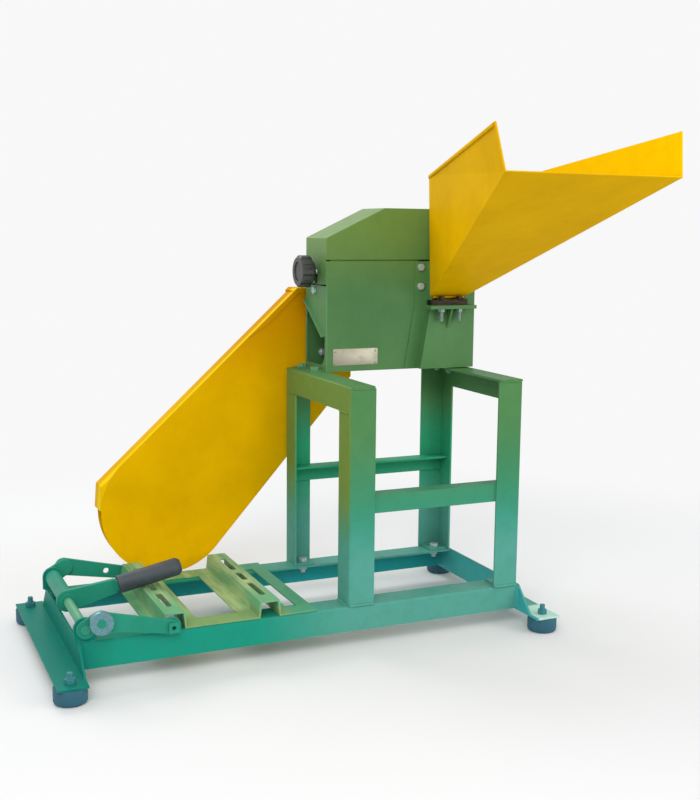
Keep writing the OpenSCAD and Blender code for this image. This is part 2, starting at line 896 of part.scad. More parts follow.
module hopper() {
    t = hopper_t;
    r = hopper_throat_width / 2;
    z0 = throat_z0 + throat_height;
    z1 = z0 + hopper_back_height;
    grow = hopper_flare_rear / hopper_wall_rear_left;
    g0 = r - t / 2 + grow * (z0 - hop_z0);
    g1 = r - t / 2 + grow * (z1 - hop_z0);
    lip_y0 = blade_front + 1;
    color(yellow) difference() {
        union() {
            hopper_shell();
            sheet_xz(hop_y1 - t, hop_y1) polygon([[hop_mid - g0, z0], [hop_mid + g0, z0], [hop_mid + g1, z1],
                [hop_mid - g1, z1]]);
            box([throat_x0, lip_y0, blade_top], [throat_x0 + throat_width, hop_y1, blade_top + t]);
            box([throat_x0, hop_y1 - t, blade_top], [throat_x0 + throat_width, hop_y1, hop_z0 + t]);
        }
        at_blade_bolts() bolt_hole(blade_bolt_d, -1, t + 1);
    }
}

// Side outline of the chute in X and Z
module chute_outline() {
    hull() {
        translate([-chute_end_x, chute_end_z]) circle(chute_end_r, $fn = 96);
        polygon([[chute_lx, chute_top_z], [chute_rx, chute_right_low], [chute_rx, chute_top_z]]);
    }
}

// Slope of the chute's upper edge, tangent to the round end
slope_dx = chute_lx + chute_end_x;
slope_dz = chute_top_z - chute_end_z;
slope_d = sqrt(slope_dx * slope_dx + slope_dz * slope_dz);
slope_angle = atan2(slope_dz, slope_dx) - asin(chute_end_r / slope_d);

module chute_front_wall() {
    sheet_xz(chute_y0, chute_y0 + chute_t) chute_outline();
}

// Lip folded over the front wall along the level top and down the slope, where it tapers off
module chute_lip_outline() {
    c = cos(slope_angle);
    s = sin(slope_angle);
    taper = 40;
    run = chute_lip_run / c;
    turn = chute_lip * tan(slope_angle / 2);
    polygon([[chute_lx, chute_top_z], [chute_lx - run * c, chute_top_z - run * s],
        [chute_lx - (run - taper) * c + chute_lip * s, chute_top_z - (run - taper) * s - chute_lip * c],
        [chute_lx + turn, chute_top_z - chute_lip], [chute_rx, chute_top_z - chute_lip], [chute_rx, chute_top_z]]);
}

// Rear wall, which ends lower along the slope so that the sunken cover lies on it
module chute_rear_wall() {
    low = chute_drop + chute_t / 2;
    left = chute_lx - 6;
    sheet_xz(chute_y1 - chute_t, chute_y1) intersection() {
        chute_outline();
        union() {
            translate([low * sin(slope_angle), -low * cos(slope_angle)]) chute_outline();
            translate([left, 0]) square([chute_rx - left, chute_top_z]);
        }
    }
}

module chute() {
    xk = chute_lx;
    t = chute_t;
    c = cos(slope_angle);
    s = sin(slope_angle);
    run = sqrt(slope_d * slope_d - chute_end_r * chute_end_r) + 58;
    drop = chute_drop;
    sunk = drop + t / 2;
    color(yellow) difference() {
        union() {
            chute_front_wall();
            chute_rear_wall();
            sheet_xz(chute_y0 - t, chute_y0 + eps) chute_lip_outline();
            box([xk, chute_y0, chute_top_z - t], [chute_rx, chute_y1, chute_top_z]);
            box([chute_rx - t, chute_y0, chute_right_low], [chute_rx, chute_y1, chute_top_z]);
            translate([xk, chute_y0, chute_top_z]) rotate([0, -slope_angle, 0]) {
                box([-run, t / 2, -drop - t], [0, chute_width - t / 2, -drop]);
                box([-8, t / 2, -drop - t], [0, chute_width - t / 2, 0]);
            }
            translate([xk - run * c + sunk * s, chute_y0, chute_top_z - run * s - sunk * c]) rotate([0, 4, 0])
                box([-1, t / 2, -chute_flap], [t, chute_width - t / 2, 0]);
            difference() {
                box([window_x0 - t, cy1, window_z0 - t], [chute_rx, chute_y0 + t, chute_top_z]);
                box([window_x0, cy1 - 1, window_z0], [chute_rx - t, chute_y0 + 1, chute_top_z - t]);
            }
            box([window_x0 - 18, cy1, window_z0 - t], [window_x0, cy1 + t, chute_top_z]);
        }
        sheet_xz(cy1 - 1, chute_y0 + t + 1) window_outline();
        at_chute_bolts() bolt_hole(blade_bolt_d, -1, t + 1);
    }
}

module chute_bolts() {
    color(zinc) at_chute_bolts() translate([0, 0, chute_t]) through_bolt(blade_bolt_d, chute_t + sheet_t, 9);
}

// Bearing housing on the back of the casing
module bearing_housing() {
    color(green) difference() {
        union() {
            box([axle_x - flange_size / 2, back_y, axle_z - flange_size / 2],
                [axle_x + flange_size / 2, back_y + flange_t, axle_z + flange_size / 2]);
            along_y(axle_x, back_y, axle_z) cylinder(d = housing_d, h = housing_length);
        }
        along_y(axle_x, back_y - 1, axle_z) cylinder(d = bearing_od - 14, h = housing_length + 2);
        along_y(axle_x, bearing_1, axle_z) cylinder(d = bearing_od, h = housing_length);
        at_flange_bolts() bolt_hole(frame_bolt_d, -1, flange_t + 1);
    }
}

module ring(inner, outer, y0, y1) {
    along_y(axle_x, y0, axle_z) difference() {
        cylinder(d = outer, h = y1 - y0);
        translate([0, 0, -1]) cylinder(d = inner, h = y1 - y0 + 2);
    }
}

module ball_groove(y) {
    along_y(axle_x, y + bearing_w / 2, axle_z) rotate_extrude() translate([ball_track, 0]) circle(ball_r + 0.12);
}

module bearings() {
    count = 9;
    color(steel) for (y = [bearing_1, bearing_2]) {
        difference() {
            ring(2 * (ball_track + race_gap), bearing_od, y, y + bearing_w);
            ball_groove(y);
        }
        for (i = [0 : count - 1])
            along_y(axle_x, y + bearing_w / 2, axle_z) rotate([0, 0, i * 360 / count])
                translate([ball_track, 0, 0]) sphere(r = ball_r, $fn = 24);
    }
}

module inner_rings() {
    color(steel) {
        for (y = [bearing_1, bearing_2])
            difference() {
                ring(shaft_d, 2 * (ball_track - race_gap), y, y + bearing_w);
                ball_groove(y);
            }
    }
}

module bearing_cap() {
    spigot = housing_end - bearing_2 - bearing_w;
    color(zinc) {
        along_y(axle_x, housing_end, axle_z) cylinder(d = housing_d, h = cap_t);
        ring(bearing_od - 10, bearing_od - 0.4, housing_end - spigot, housing_end + eps);
    }
}

module housing_bolts() {
    color(zinc) at_flange_bolts() translate([0, 0, flange_t]) through_bolt(frame_bolt_d, flange_t + sheet_t, 9);
}

// Hood with its hinge and clamp
module hood_outline() {
    polygon([[cx0, hood_low], [cx0, cz1 - hood_slope_drop], [cx0 + hood_slope_run, cz1],
        [cx1 - hood_right_run, cz1], [cx1, hood_right_z], [cx1, hood_low]]);
}

module hood_inside() {
    t = sheet_t;
    k = t * 0.6;
    polygon([[cx0 + t, hood_low - 1], [cx0 + t, cz1 - hood_slope_drop - k], [cx0 + hood_slope_run + k, cz1 - t],
        [cx1 - hood_right_run - k, cz1 - t], [cx1 - t, hood_right_z - k], [cx1 - t, hood_low - 1]]);
}

module hood() {
    t = sheet_t;
    y0 = cy0 + skirt_inset;
    y1 = cy1 - skirt_inset;
    color(green) difference() {
        union() {
            difference() {
                sheet_xz(cy0, cy1) hood_outline();
                sheet_xz(cy0 + t, cy1 - t) hood_inside();
            }
            box([cx0, y0, skirt_low], [cx0 + t, y1, hood_low + eps]);
            box([cx1 - t, y0, latch_z + skirt_lift], [cx1, y1, hood_low + eps]);
        }
        along_x(cx0 - 1, latch_y, latch_z) cylinder(d = notch_w, h = t + 2);
        box([cx0 - 1, latch_y - notch_w / 2, skirt_low - 1], [cx0 + t + 1, latch_y + notch_w / 2, latch_z]);
    }
}

hinge_y0 = cy0 + 8;
hinge_y1 = cy1 - 8;
hinge_third = (hinge_y1 - hinge_y0) / 3;

module knuckle(y0, y1) {
    along_y(hinge_x, y0, latch_z) cylinder(d = hinge_barrel_d, h = y1 - y0);
}

module hinge_fixed_leaf() {
    leaf_t = 2.5;
    color(green) difference() {
        union() {
            box([cx1, hinge_y0, latch_z - 36], [cx1 + leaf_t, hinge_y1, latch_z - 6]);
            for (y = [hinge_y0, hinge_y1 - hinge_third + 0.4]) {
                knuckle(y, y + hinge_third - 0.4);
                box([cx1, y, latch_z - hinge_barrel_d / 2], [hinge_x, y + hinge_third - 0.4, latch_z - 2]);
            }
        }
        along_y(hinge_x, hinge_y0 - 1, latch_z) cylinder(d = hinge_pin_d, h = hinge_y1 - hinge_y0 + 2);
    }
}

module hinge_hood_leaf() {
    leaf_t = 2.5;
    y0 = hinge_y0 + hinge_third;
    y1 = hinge_y1 - hinge_third;
    color(green) difference() {
        union() {
            box([cx1, hinge_y0, latch_z + skirt_lift], [cx1 + leaf_t, hinge_y1, latch_z + 40]);
            knuckle(y0, y1);
            box([cx1, y0, latch_z + 2], [hinge_x, y1, latch_z + hinge_barrel_d / 2]);
            box([cx1, y0, latch_z + 2], [cx1 + leaf_t, y1, latch_z + skirt_lift + 1]);
        }
        along_y(hinge_x, hinge_y0 - 1, latch_z) cylinder(d = hinge_pin_d + 2 * fit, h = hinge_y1 - hinge_y0 + 2);
    }
}

module hinge_pin() {
    color(zinc) along_y(hinge_x, hinge_y0 - 2, latch_z) cylinder(d = hinge_pin_d, h = hinge_y1 - hinge_y0 + 4);
}

module knob() {
    flutes = 10;
    flute_r = 6;
    bore = knob_t - 6;
    color(black) along_x(knob_x0, latch_y, latch_z) difference() {
        union() {
            cylinder(d1 = knob_d - 8, d2 = knob_d, h = 4);
            translate([0, 0, 4]) cylinder(d = knob_d, h = knob_t - 12);
            translate([0, 0, knob_t - 8]) cylinder(d1 = knob_d, d2 = knob_d - 22, h = 6);
            translate([0, 0, knob_t - 2]) cylinder(d = knob_d - 22, h = 2);
        }
        for (i = [0 : flutes - 1])
            rotate([0, 0, i * 360 / flutes]) translate([knob_d / 2 + 2, 0, -1]) cylinder(r = flute_r, h = knob_t + 2);
        translate([0, 0, knob_t - bore]) cylinder(d = stud_d + 2 * fit, h = bore + 1);
        translate([0, 0, -1]) cylinder(d = knob_d - 26, h = 3);
    }
}

// Rotor, drawn upright about its axle and then turned to run along +Y
module at_axle() {
    translate([axle_x, 0, axle_z]) rotate([-90, 0, 0]) rotate([0, 0, wheel_turn]) children();
}

module rotor_shaft() {
    key_w = 8;
    shoulder = 33;
    color(steel) at_axle() difference() {
        union() {
            translate([0, 0, hub_y0 - 14]) cylinder(d = shaft_d, h = housing_end - 2 - hub_y0 + 14);
            translate([0, 0, hub_y1]) cylinder(d = shoulder, h = bearing_1 - hub_y1);
        }
        box([shaft_d / 2 - 4, -key_w / 2, hub_y0 + 5], [shaft_d, key_w / 2, hub_y1 - 5]);
    }
}

module rotor_key() {
    key_w = 8;
    color(steel) at_axle() box([shaft_d / 2 - 4, -key_w / 2, hub_y0 + 5], [shaft_d / 2 + 3, key_w / 2, hub_y1 - 5]);
}

module rotor_nut() {
    nut_h = 9;
    washer_t = 3;
    color(zinc) at_axle() difference() {
        union() {
            translate([0, 0, hub_y0 - washer_t]) cylinder(d = 44, h = washer_t);
            translate([0, 0, hub_y0 - washer_t - nut_h]) hex(36, nut_h + eps);
        }
        translate([0, 0, hub_y0 - 20]) cylinder(d = shaft_d, h = 21);
    }
}

module at_arms() {
    for (a = [0, 180])
        rotate([0, 0, a]) children();
}

knife_r0 = hub_d / 2 + 10;
knife_r1 = wheel_r - 5;
knife_bolt_d = 8;
paddle_r0 = hub_d / 2 + 26;
paddle_r1 = wheel_r - 6;

module at_knife_bolts() {
    at_arms() for (r = [knife_r0 + 20, knife_r1 - 31])
        translate([r, 0, knife_y0]) rotate([180, 0, 0]) children();
}

module at_paddle_bolts() {
    at_arms() rotate([0, 0, 90]) for (r = [paddle_r0 + 18, paddle_r1 - 26])
        translate([r, -4, rim_y1 + paddle_t]) children();
}

module flywheel() {
    spoke_w = 26;
    rim_r = wheel_r - rim_depth;
    mid = (rim_y0 + rim_y1) / 2;
    color(iron) at_axle() difference() {
        union() {
            rotate_extrude($fn = 96) polygon([[rim_r, rim_y0], [wheel_r, rim_y0], [wheel_r, mid - groove_width / 2],
                [wheel_r - groove_depth, mid - groove_width / 4], [wheel_r - groove_depth, mid + groove_width / 4],
                [wheel_r, mid + groove_width / 2], [wheel_r, rim_y1], [rim_r, rim_y1]]);
            translate([0, 0, hub_y0]) cylinder(d = hub_d, h = hub_length);
            at_arms() {
                box([0, -knife_width / 2 + 2, arm_y0], [rim_r + 2, knife_width / 2 - 5, arm_y0 + arm_t + 2]);
                box([0, -4, arm_y0 + arm_t], [rim_r + 2, 4, rim_y1]);
                rotate([0, 0, 90]) box([0, -spoke_w / 2, hub_y0], [rim_r + 2, spoke_w / 2, rim_y1]);
            }
        }
        translate([0, 0, rim_y0 - 5]) cylinder(d = shaft_d, h = hub_length + 40);
        translate([0, 0, rim_y0 - 5]) cylinder(d = hub_d * 0.75, h = hub_y0 - rim_y0 + 5);
        box([0, -4, hub_y0 - 1], [shaft_d / 2 + 3, 4, hub_y1 - 5]);
        at_knife_bolts() bolt_hole(knife_bolt_d, -knife_t - arm_t - 40, 1);
        at_paddle_bolts() bolt_hole(knife_bolt_d, -paddle_t - rim_width - 1, 1);
    }
}

module knives() {
    w = knife_width / 2;
    bevel = 7;
    color(zinc) at_axle() difference() {
        at_arms() translate([knife_r0, 0, 0]) rotate([90, 0, 90]) linear_extrude(knife_r1 - knife_r0)
            polygon([[-w, knife_y0], [w, knife_y0], [w - bevel, knife_y0 + knife_t], [-w, knife_y0 + knife_t]]);
        at_knife_bolts() bolt_hole(knife_bolt_d, -knife_t - 1, 1);
    }
}

module knife_bolts() {
    nut_h = 7;
    web = knife_t + rim_y1 - arm_y0;
    color(zinc) at_axle() {
        at_knife_bolts() {
            translate([0, 0, -web - nut_h - 2]) cylinder(d = knife_bolt_d, h = web + nut_h + 2);
            translate([0, 0, -web - nut_h]) hex(13, nut_h);
        }
        at_paddle_bolts() {
            hex(13, 5);
            translate([0, 0, -paddle_t - 14]) cylinder(d = knife_bolt_d, h = paddle_t + 14 + eps);
        }
    }
}

module paddles() {
    r0 = paddle_r0;
    r1 = paddle_r1;
    foot_w = 24;
    color(steel) at_axle() difference() {
        at_arms() rotate([0, 0, 90]) {
            box([r0, -foot_w / 2 - 1, rim_y1], [r1, foot_w / 2, rim_y1 + paddle_t]);
            box([r0, foot_w / 2 - paddle_t, rim_y1], [r1, foot_w / 2, rim_y1 + paddle_depth]);
        }
        at_paddle_bolts() bolt_hole(knife_bolt_d, -paddle_t - 1, 1);
    }
}

// Belt tensioner
module pivot_ear() {
    difference() {
        sheet_xz(ear_y, ear_y + ear_t) union() {
            translate([pivot_x, pivot_z]) circle(ear_r);
            translate([pivot_x - ear_r, 0]) square([2 * ear_r, pivot_z]);
        }
        along_y(pivot_x, ear_y - 1, pivot_z) cylinder(d = lever_shaft_d + 2 * fit, h = ear_t + 2);
    }
}

module pivot_ears() {
    color(frame_green) {
        pivot_ear();
        mirror_y() pivot_ear();
    }
}

module lever_shaft() {
    color(zinc) along_y(pivot_x, -layer_2, pivot_z) cylinder(d = lever_shaft_d, h = stand_depth + 2 * layer_2);
}

// Lever shapes are drawn along +X and then turned up to the rest angle
module at_lever() {
    translate([pivot_x, mid_y, pivot_z]) rotate([0, -lever_angle, 0]) children();
}

module lever_bar() {
    tang = grip_start + grip_length - 8;
    color(green) difference() {
        union() {
            at_lever() sheet_xz(-lever_t / 2, lever_t / 2) union() {
                circle(lever_hub_h / 2);
                polygon([[0, -lever_hub_h / 2], [grip_start - 4, -lever_tip_h / 2], [grip_start - 4, lever_tip_h / 2],
                    [0, lever_hub_h / 2]]);
                translate([0, -lever_tip_h / 2 + 4]) square([tang, lever_tip_h - 8]);
            }
            along_y(pivot_x, mid_y - 8, pivot_z) cylinder(d = sleeve_d, h = stand_depth - mid_y - ear_y - ear_t + 5);
        }
        along_y(pivot_x, 0, pivot_z) cylinder(d = lever_shaft_d, h = stand_depth);
    }
}

module lever_grip() {
    end = 6;
    r = grip_d / 2;
    color(black) at_lever() difference() {
        along_x(grip_start, 0, 0) union() {
            cylinder(r = r, h = grip_length - end);
            translate([0, 0, grip_length - end - 2 * eps]) cylinder(r1 = r, r2 = r - 4, h = end);
        }
        box([0, -lever_t / 2, -lever_tip_h / 2 + 4], [grip_start + grip_length - 8, lever_t / 2, lever_tip_h / 2 - 4]);
    }
}

module crank_arm() {
    eye = link_eye_r - 1;
    difference() {
        sheet_xz(-layer_2, -layer_1) hull() {
            translate([pivot_x, pivot_z]) circle(eye);
            translate([pin_x, pin_z]) circle(eye);
        }
        along_y(pivot_x, -layer_2 - 1, pivot_z) cylinder(d = lever_shaft_d, h = crank_t + 2);
    }
}

module crank_arms() {
    color(green) {
        crank_arm();
        mirror_y() crank_arm();
    }
}

module link() {
    difference() {
        sheet_xz(-layer_4, -layer_3) hull() {
            translate([pin_x, pin_z]) circle(link_eye_r);
            translate([lug_x, lug_height]) circle(link_tail_r);
        }
        along_y(pin_x, -layer_4 - 1, pin_z) cylinder(d = crank_pin_d, h = link_t + 2);
        along_y(lug_x, -layer_4 - 1, lug_height) cylinder(d = lug_pin_d + 2 * fit, h = link_t + 2);
    }
}

module front_link() {
    color(green) link();
}

module rear_link() {
    hole_at = 0.66;
    color(green) difference() {
        mirror_y() link();
        along_y(pin_x + hole_at * link_dx, stand_depth, pin_z + hole_at * link_dz) cylinder(d = 11, h = 3 * link_t);
    }
}

module crank_pins() {
    head_t = 4;
    color(zinc) {
        along_y(pin_x, -layer_4 - collar_w - 1, pin_z) cylinder(d = crank_pin_d, h = collar_w + 1 + link_t);
        mirror_y() {
            along_y(pin_x, -layer_4, pin_z) cylinder(d = crank_pin_d, h = link_t);
            along_y(pin_x, -layer_4 - head_t, pin_z) cylinder(d = crank_pin_d + 9, h = head_t);
        }
    }
}

module shaft_collars() {
    color(zinc) difference() {
        union() {
            along_y(pin_x, -layer_4 - collar_w, pin_z) cylinder(d = collar_d, h = collar_w);
            translate([pin_x, -layer_4 - collar_w / 2, pin_z + collar_d / 2 - 3]) cylinder(d = 5, h = 5);
        }
        along_y(pin_x, -layer_4 - collar_w - 1, pin_z) cylinder(d = crank_pin_d, h = collar_w + 2);
    }
}

// Motor carriage
module hat_outline(left_flange, right_flange) {
    t = hat_t;
    w = hat_top / 2;
    f = w + hat_lean;
    z0 = glide;
    polygon([[-f - left_flange, z0], [-f + t * 0.4, z0], [-f + t * 0.4 + t * 0.6, z0], [-w + t, hat_height - t],
        [w - t, hat_height - t], [f - t, z0], [f + right_flange, z0], [f + right_flange, z0 + t], [f, z0 + t],
        [w, hat_height], [-w, hat_height], [-f, z0 + t], [-f - left_flange, z0 + t]]);
}

module slot(y, length) {
    half = (length - slot_width) / 2;
    translate([0, y - half, 0]) cylinder(d = slot_width, h = hat_height + 5);
    translate([0, y + half, 0]) cylinder(d = slot_width, h = hat_height + 5);
    box([-slot_width / 2, y - half, 0], [slot_width / 2, y + half, hat_height + 5]);
}

module motor_slots() {
    slot(mid_y - slot_spacing / 2, slot_length);
    slot(mid_y, mid_slot_length);
    slot(mid_y + slot_spacing / 2, slot_length);
}

module left_hat() {
    color(green) translate([-left_hat_x, 0, 0]) difference() {
        sheet_xz(-layer_1, stand_depth + layer_1) hat_outline(hat_flange_a, hat_flange_b);
        motor_slots();
    }
}

module right_hat() {
    x0 = hat_top / 2 + hat_lean + hat_window_gap;
    color(green) translate([-right_hat_x, 0, 0]) difference() {
        sheet_xz(-layer_1, stand_depth + layer_1) hat_outline(hat_flange_b, hat_flange_c);
        motor_slots();
        box([x0, strap_width - 5, -1], [x0 + hat_window, stand_depth - strap_width + 5, hat_t + 5]);
    }
}

module strap() {
    foot = hat_top / 2 + hat_lean + hat_flange_b;
    box([-left_hat_x + foot, -layer_1, glide], [-right_hat_x - foot, strap_width, glide + hat_t]);
}

module carriage_straps() {
    color(green) {
        strap();
        mirror_y() strap();
    }
}

module lug() {
    low = -4;
    difference() {
        sheet_xz(-layer_2, -layer_1) union() {
            translate([lug_x, lug_height]) circle(lug_half - 2);
            translate([lug_x - lug_half + 2, low]) square([2 * lug_half - 4, lug_height - low]);
        }
        along_y(lug_x, -layer_2 - 1, lug_height) cylinder(d = lug_pin_d, h = crank_t + 2);
    }
}

module carriage_lugs() {
    color(green) {
        lug();
        mirror_y() lug();
    }
}

module lug_pin() {
    head_t = 5;
    head = lug_pin_d * 0.85;
    difference() {
        union() {
            along_y(lug_x, -layer_4 - play, lug_height) cylinder(d = lug_pin_d, h = layer_4 + play - layer_1);
            box([lug_x - head, -layer_4 - play - head_t, lug_height - head],
                [lug_x + head, -layer_4 - play + eps, lug_height + head]);
        }
        along_y(lug_x, -layer_4 - play - head_t - 1, lug_height) cylinder(d = lug_pin_d * 0.7, h = head_t + layer_4);
    }
}

module lug_pins() {
    color(green) {
        lug_pin();
        mirror_y() lug_pin();
    }
}

place() front_rail();
place() rear_rail();
place() left_crossbar();
place() right_crossbar();
place() rubber_feet();
place() foot_bolts();
place() front_left_post();
place() front_right_post();
place() rear_left_post();
place() rear_right_post();
place() left_top_bar();
place() right_top_bar();
place() front_mid_rail();
place() rear_mid_rail();
place() post_bolts();
place() pivot_ears();
place() casing_front_plate();
place() casing_rear_plate();
place() casing_wrap();
place() casing_bolts();
place() latch_tab();
place() knob_stud();
place() mouthpiece();
place() mouthpiece_bolts();
place() blade_shelf();
place() counter_blade();
place() counter_blade_bolts();
place() hopper();
place() chute();
place() chute_bolts();
place() bearing_housing();
place() bearings();
place() bearing_cap();
place() housing_bolts();
place() hinge_fixed_leaf();
place() hinge_pin();
place() hood();
place() hinge_hood_leaf();
place() knob();
place() rotor_shaft();
place() flywheel();
place() knives();
place() knife_bolts();
place() paddles();
place() rotor_key();
place() rotor_nut();
place() inner_rings();
place() lever_shaft();
place() lever_bar();
place() lever_grip();
place() crank_arms();
place() front_link();
place() rear_link();
place() crank_pins();
place() shaft_collars();
place() left_hat();
place() right_hat();
place() carriage_straps();
place() carriage_lugs();
place() lug_pins();
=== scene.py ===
"""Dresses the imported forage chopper: paints, metals, weld beads, threads, hems, light and camera.

Sizes in the machine's own frame are in millimetres, from the stand's front left corner at rail level. Places
in the finishes and the light are in metres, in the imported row's frame.
"""
import json
import math

import bpy
import numpy as np
from mathutils import Matrix


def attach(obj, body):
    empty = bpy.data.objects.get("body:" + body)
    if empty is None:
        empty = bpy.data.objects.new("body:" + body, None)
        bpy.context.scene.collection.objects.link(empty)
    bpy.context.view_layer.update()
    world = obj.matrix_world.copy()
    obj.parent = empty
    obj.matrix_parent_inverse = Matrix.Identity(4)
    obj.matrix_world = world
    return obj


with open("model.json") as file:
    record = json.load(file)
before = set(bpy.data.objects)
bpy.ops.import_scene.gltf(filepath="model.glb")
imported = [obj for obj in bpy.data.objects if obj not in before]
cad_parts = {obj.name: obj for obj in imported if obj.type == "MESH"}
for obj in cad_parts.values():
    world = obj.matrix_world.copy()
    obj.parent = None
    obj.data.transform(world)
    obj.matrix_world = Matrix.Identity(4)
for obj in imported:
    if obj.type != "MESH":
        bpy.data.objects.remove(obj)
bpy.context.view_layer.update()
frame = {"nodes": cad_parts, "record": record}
nodes = frame["nodes"]

# The row frame's origin in the machine's own frame, in millimetres
ORIGIN = np.array([-29.65, 66.3, -77.0])
MM = 0.001
UP = (0, 0, 1)
DOWN = (0, 0, -1)
FORWARD = (0, -1, 0)
BACKWARD = (0, 1, 0)

# The display's curve: a straight start up to the knee, then a shifted power
WHITE = 255
KNEE = 0.04045
START_SLOPE = 12.92
SHIFT = 0.055
POWER = 2.4


def spot(*points):
    """Machine points in millimetres as row points in metres: subtract the origin, then scale."""
    return (np.array(points, float).reshape(-1, 3) - ORIGIN) * MM


def linear(r, g, b):
    """A display colour from 0 to 255 as linear light: the display's curve, undone."""
    v = np.array([r, g, b], float) / WHITE
    start = v / START_SLOPE
    rest = ((v + SHIFT) / (1 + SHIFT)) ** POWER
    return (*np.where(v <= KNEE, start, rest), 1.0)


def toned(colour, share, lift=0):
    """A display colour scaled by a share, then lifted."""
    return tuple(share * c + lift for c in colour)


def placed(name, data):
    """A new object with that data, at the origin of the scene."""
    made = bpy.data.objects.new(name, data)
    bpy.context.scene.collection.objects.link(made)
    return made


# Shader expressions

# Sockets of a colour Mix node: the amount, the two colours and the result
MIX_INPUTS = (0, 6, 7)
MIX_RESULT = 2
# Lean of the rounded normal at which an edge starts to show and shows fully
EDGE_LEAN = (0.01, 0.16)
EDGE_SAMPLES = 4


class Value:
    """One number output of a node. Sums, differences and products of values add Math nodes."""

    def __init__(self, finish, socket):
        self.finish = finish
        self.socket = socket

    def math(self, operation, first, second):
        node = self.finish.node("ShaderNodeMath", {"operation": operation}, first, second)
        return Value(self.finish, node.outputs[0])

    def __add__(self, other):
        return self.math("ADD", self, other)

    __radd__ = __add__

    def __mul__(self, other):
        return self.math("MULTIPLY", self, other)

    __rmul__ = __mul__

    def __sub__(self, other):
        return self.math("SUBTRACT", self, other)

    def __rsub__(self, other):
        return self.math("SUBTRACT", other, self)

    def above(self, start, end):
        """0 below start, 1 above end, and a smooth step between them."""
        settings = {"interpolation_type": "SMOOTHSTEP"}
        node = self.finish.node("ShaderNodeMapRange", settings, self, start, end, 0.0, 1.0)
        return Value(self.finish, node.outputs[0])


class Nodes:
    """A node tree with one method that adds any node."""

    def __init__(self, tree):
        self.tree = tree
        self.tree.nodes.clear()

    def node(self, kind, settings=None, *inputs, **named):
        """A node of that kind: its settings first, then its sockets' values or links, in order or by name."""
        made = self.tree.nodes.new(kind)
        for key, setting in (settings or {}).items():
            setattr(made, key, setting)
        for index, value in enumerate(inputs):
            self.feed(made.inputs[index], value)
        for key, value in named.items():
            self.feed(made.inputs[key.replace("_", " ")], value)
        return made

    def feed(self, socket, value):
        """Links a socket to a value or another socket, or sets it to a number, vector or colour."""
        if isinstance(value, Value):
            value = value.socket
        if isinstance(value, bpy.types.NodeSocket):
            self.tree.links.new(value, socket)
        else:
            socket.default_value = value


class Finish(Nodes):
    """One material with a Principled shader on Object coordinates."""

    def __init__(self, name):
        self.material = bpy.data.materials.new(name)
        self.material.use_nodes = True
        super().__init__(self.material.node_tree)
        self.shader = self.node("ShaderNodeBsdfPrincipled")
        self.output = self.node("ShaderNodeOutputMaterial", None, self.shader.outputs[0])
        self.where = self.node("ShaderNodeTexCoord").outputs["Object"]

    def noise(self, scale, detail=4.0, rough=0.55, stretch=(1, 1, 1), shift=(0, 0, 0)):
        """Noise on Object coordinates, as a value near 0.5; scale is in ripples per metre."""
        mapping = self.node("ShaderNodeMapping", None, Vector=self.where, Scale=stretch, Location=shift)
        made = self.node("ShaderNodeTexNoise", None, Vector=mapping.outputs[0], Scale=scale, Detail=detail,
                         Roughness=rough)
        return Value(self, made.outputs["Fac"])

    def along(self, axis):
        """Place along an axis in metres, from Object coordinates."""
        split = self.node("ShaderNodeSeparateXYZ", None, self.where)
        return Value(self, split.outputs[axis])

    def edges(self, radius):
        """0 on flat faces and 1 close to an edge: how far the rounded normal leans from the true one."""
        rounded = self.node("ShaderNodeBevel", {"samples": EDGE_SAMPLES}, radius).outputs[0]
        true = self.node("ShaderNodeNewGeometry").outputs["Normal"]
        dot = self.node("ShaderNodeVectorMath", {"operation": "DOT_PRODUCT"}, rounded, true)
        return (1.0 - Value(self, dot.outputs["Value"])).above(*EDGE_LEAN)

    def mix(self, amount, first, second):
        """A colour between two, by a value from 0 to 1; each is a link or a display colour."""
        made = self.node("ShaderNodeMix", {"data_type": "RGBA"})
        colours = [linear(*c) if isinstance(c, tuple) else c for c in (first, second)]
        for index, value in zip(MIX_INPUTS, (amount, *colours)):
            self.feed(made.inputs[index], value)
        return made.outputs[MIX_RESULT]

    def bump(self, value, strength, depth):
        """Raises the surface by a value, through the shader's normal."""
        made = self.node("ShaderNodeBump", None, Strength=strength, Distance=depth, Height=value)
        self.feed(self.shader.inputs["Normal"], made.outputs[0])

    def set(self, **sockets):
        """Sets or links sockets of the shader by name."""
        for key, value in sockets.items():
            self.feed(self.shader.inputs[key.replace("_", " ")], value)


# Finishes

SOIL = (60, 62, 46)
SPECK = (40, 44, 34)
RUST = (96, 70, 52)
PIT = (28, 28, 29)


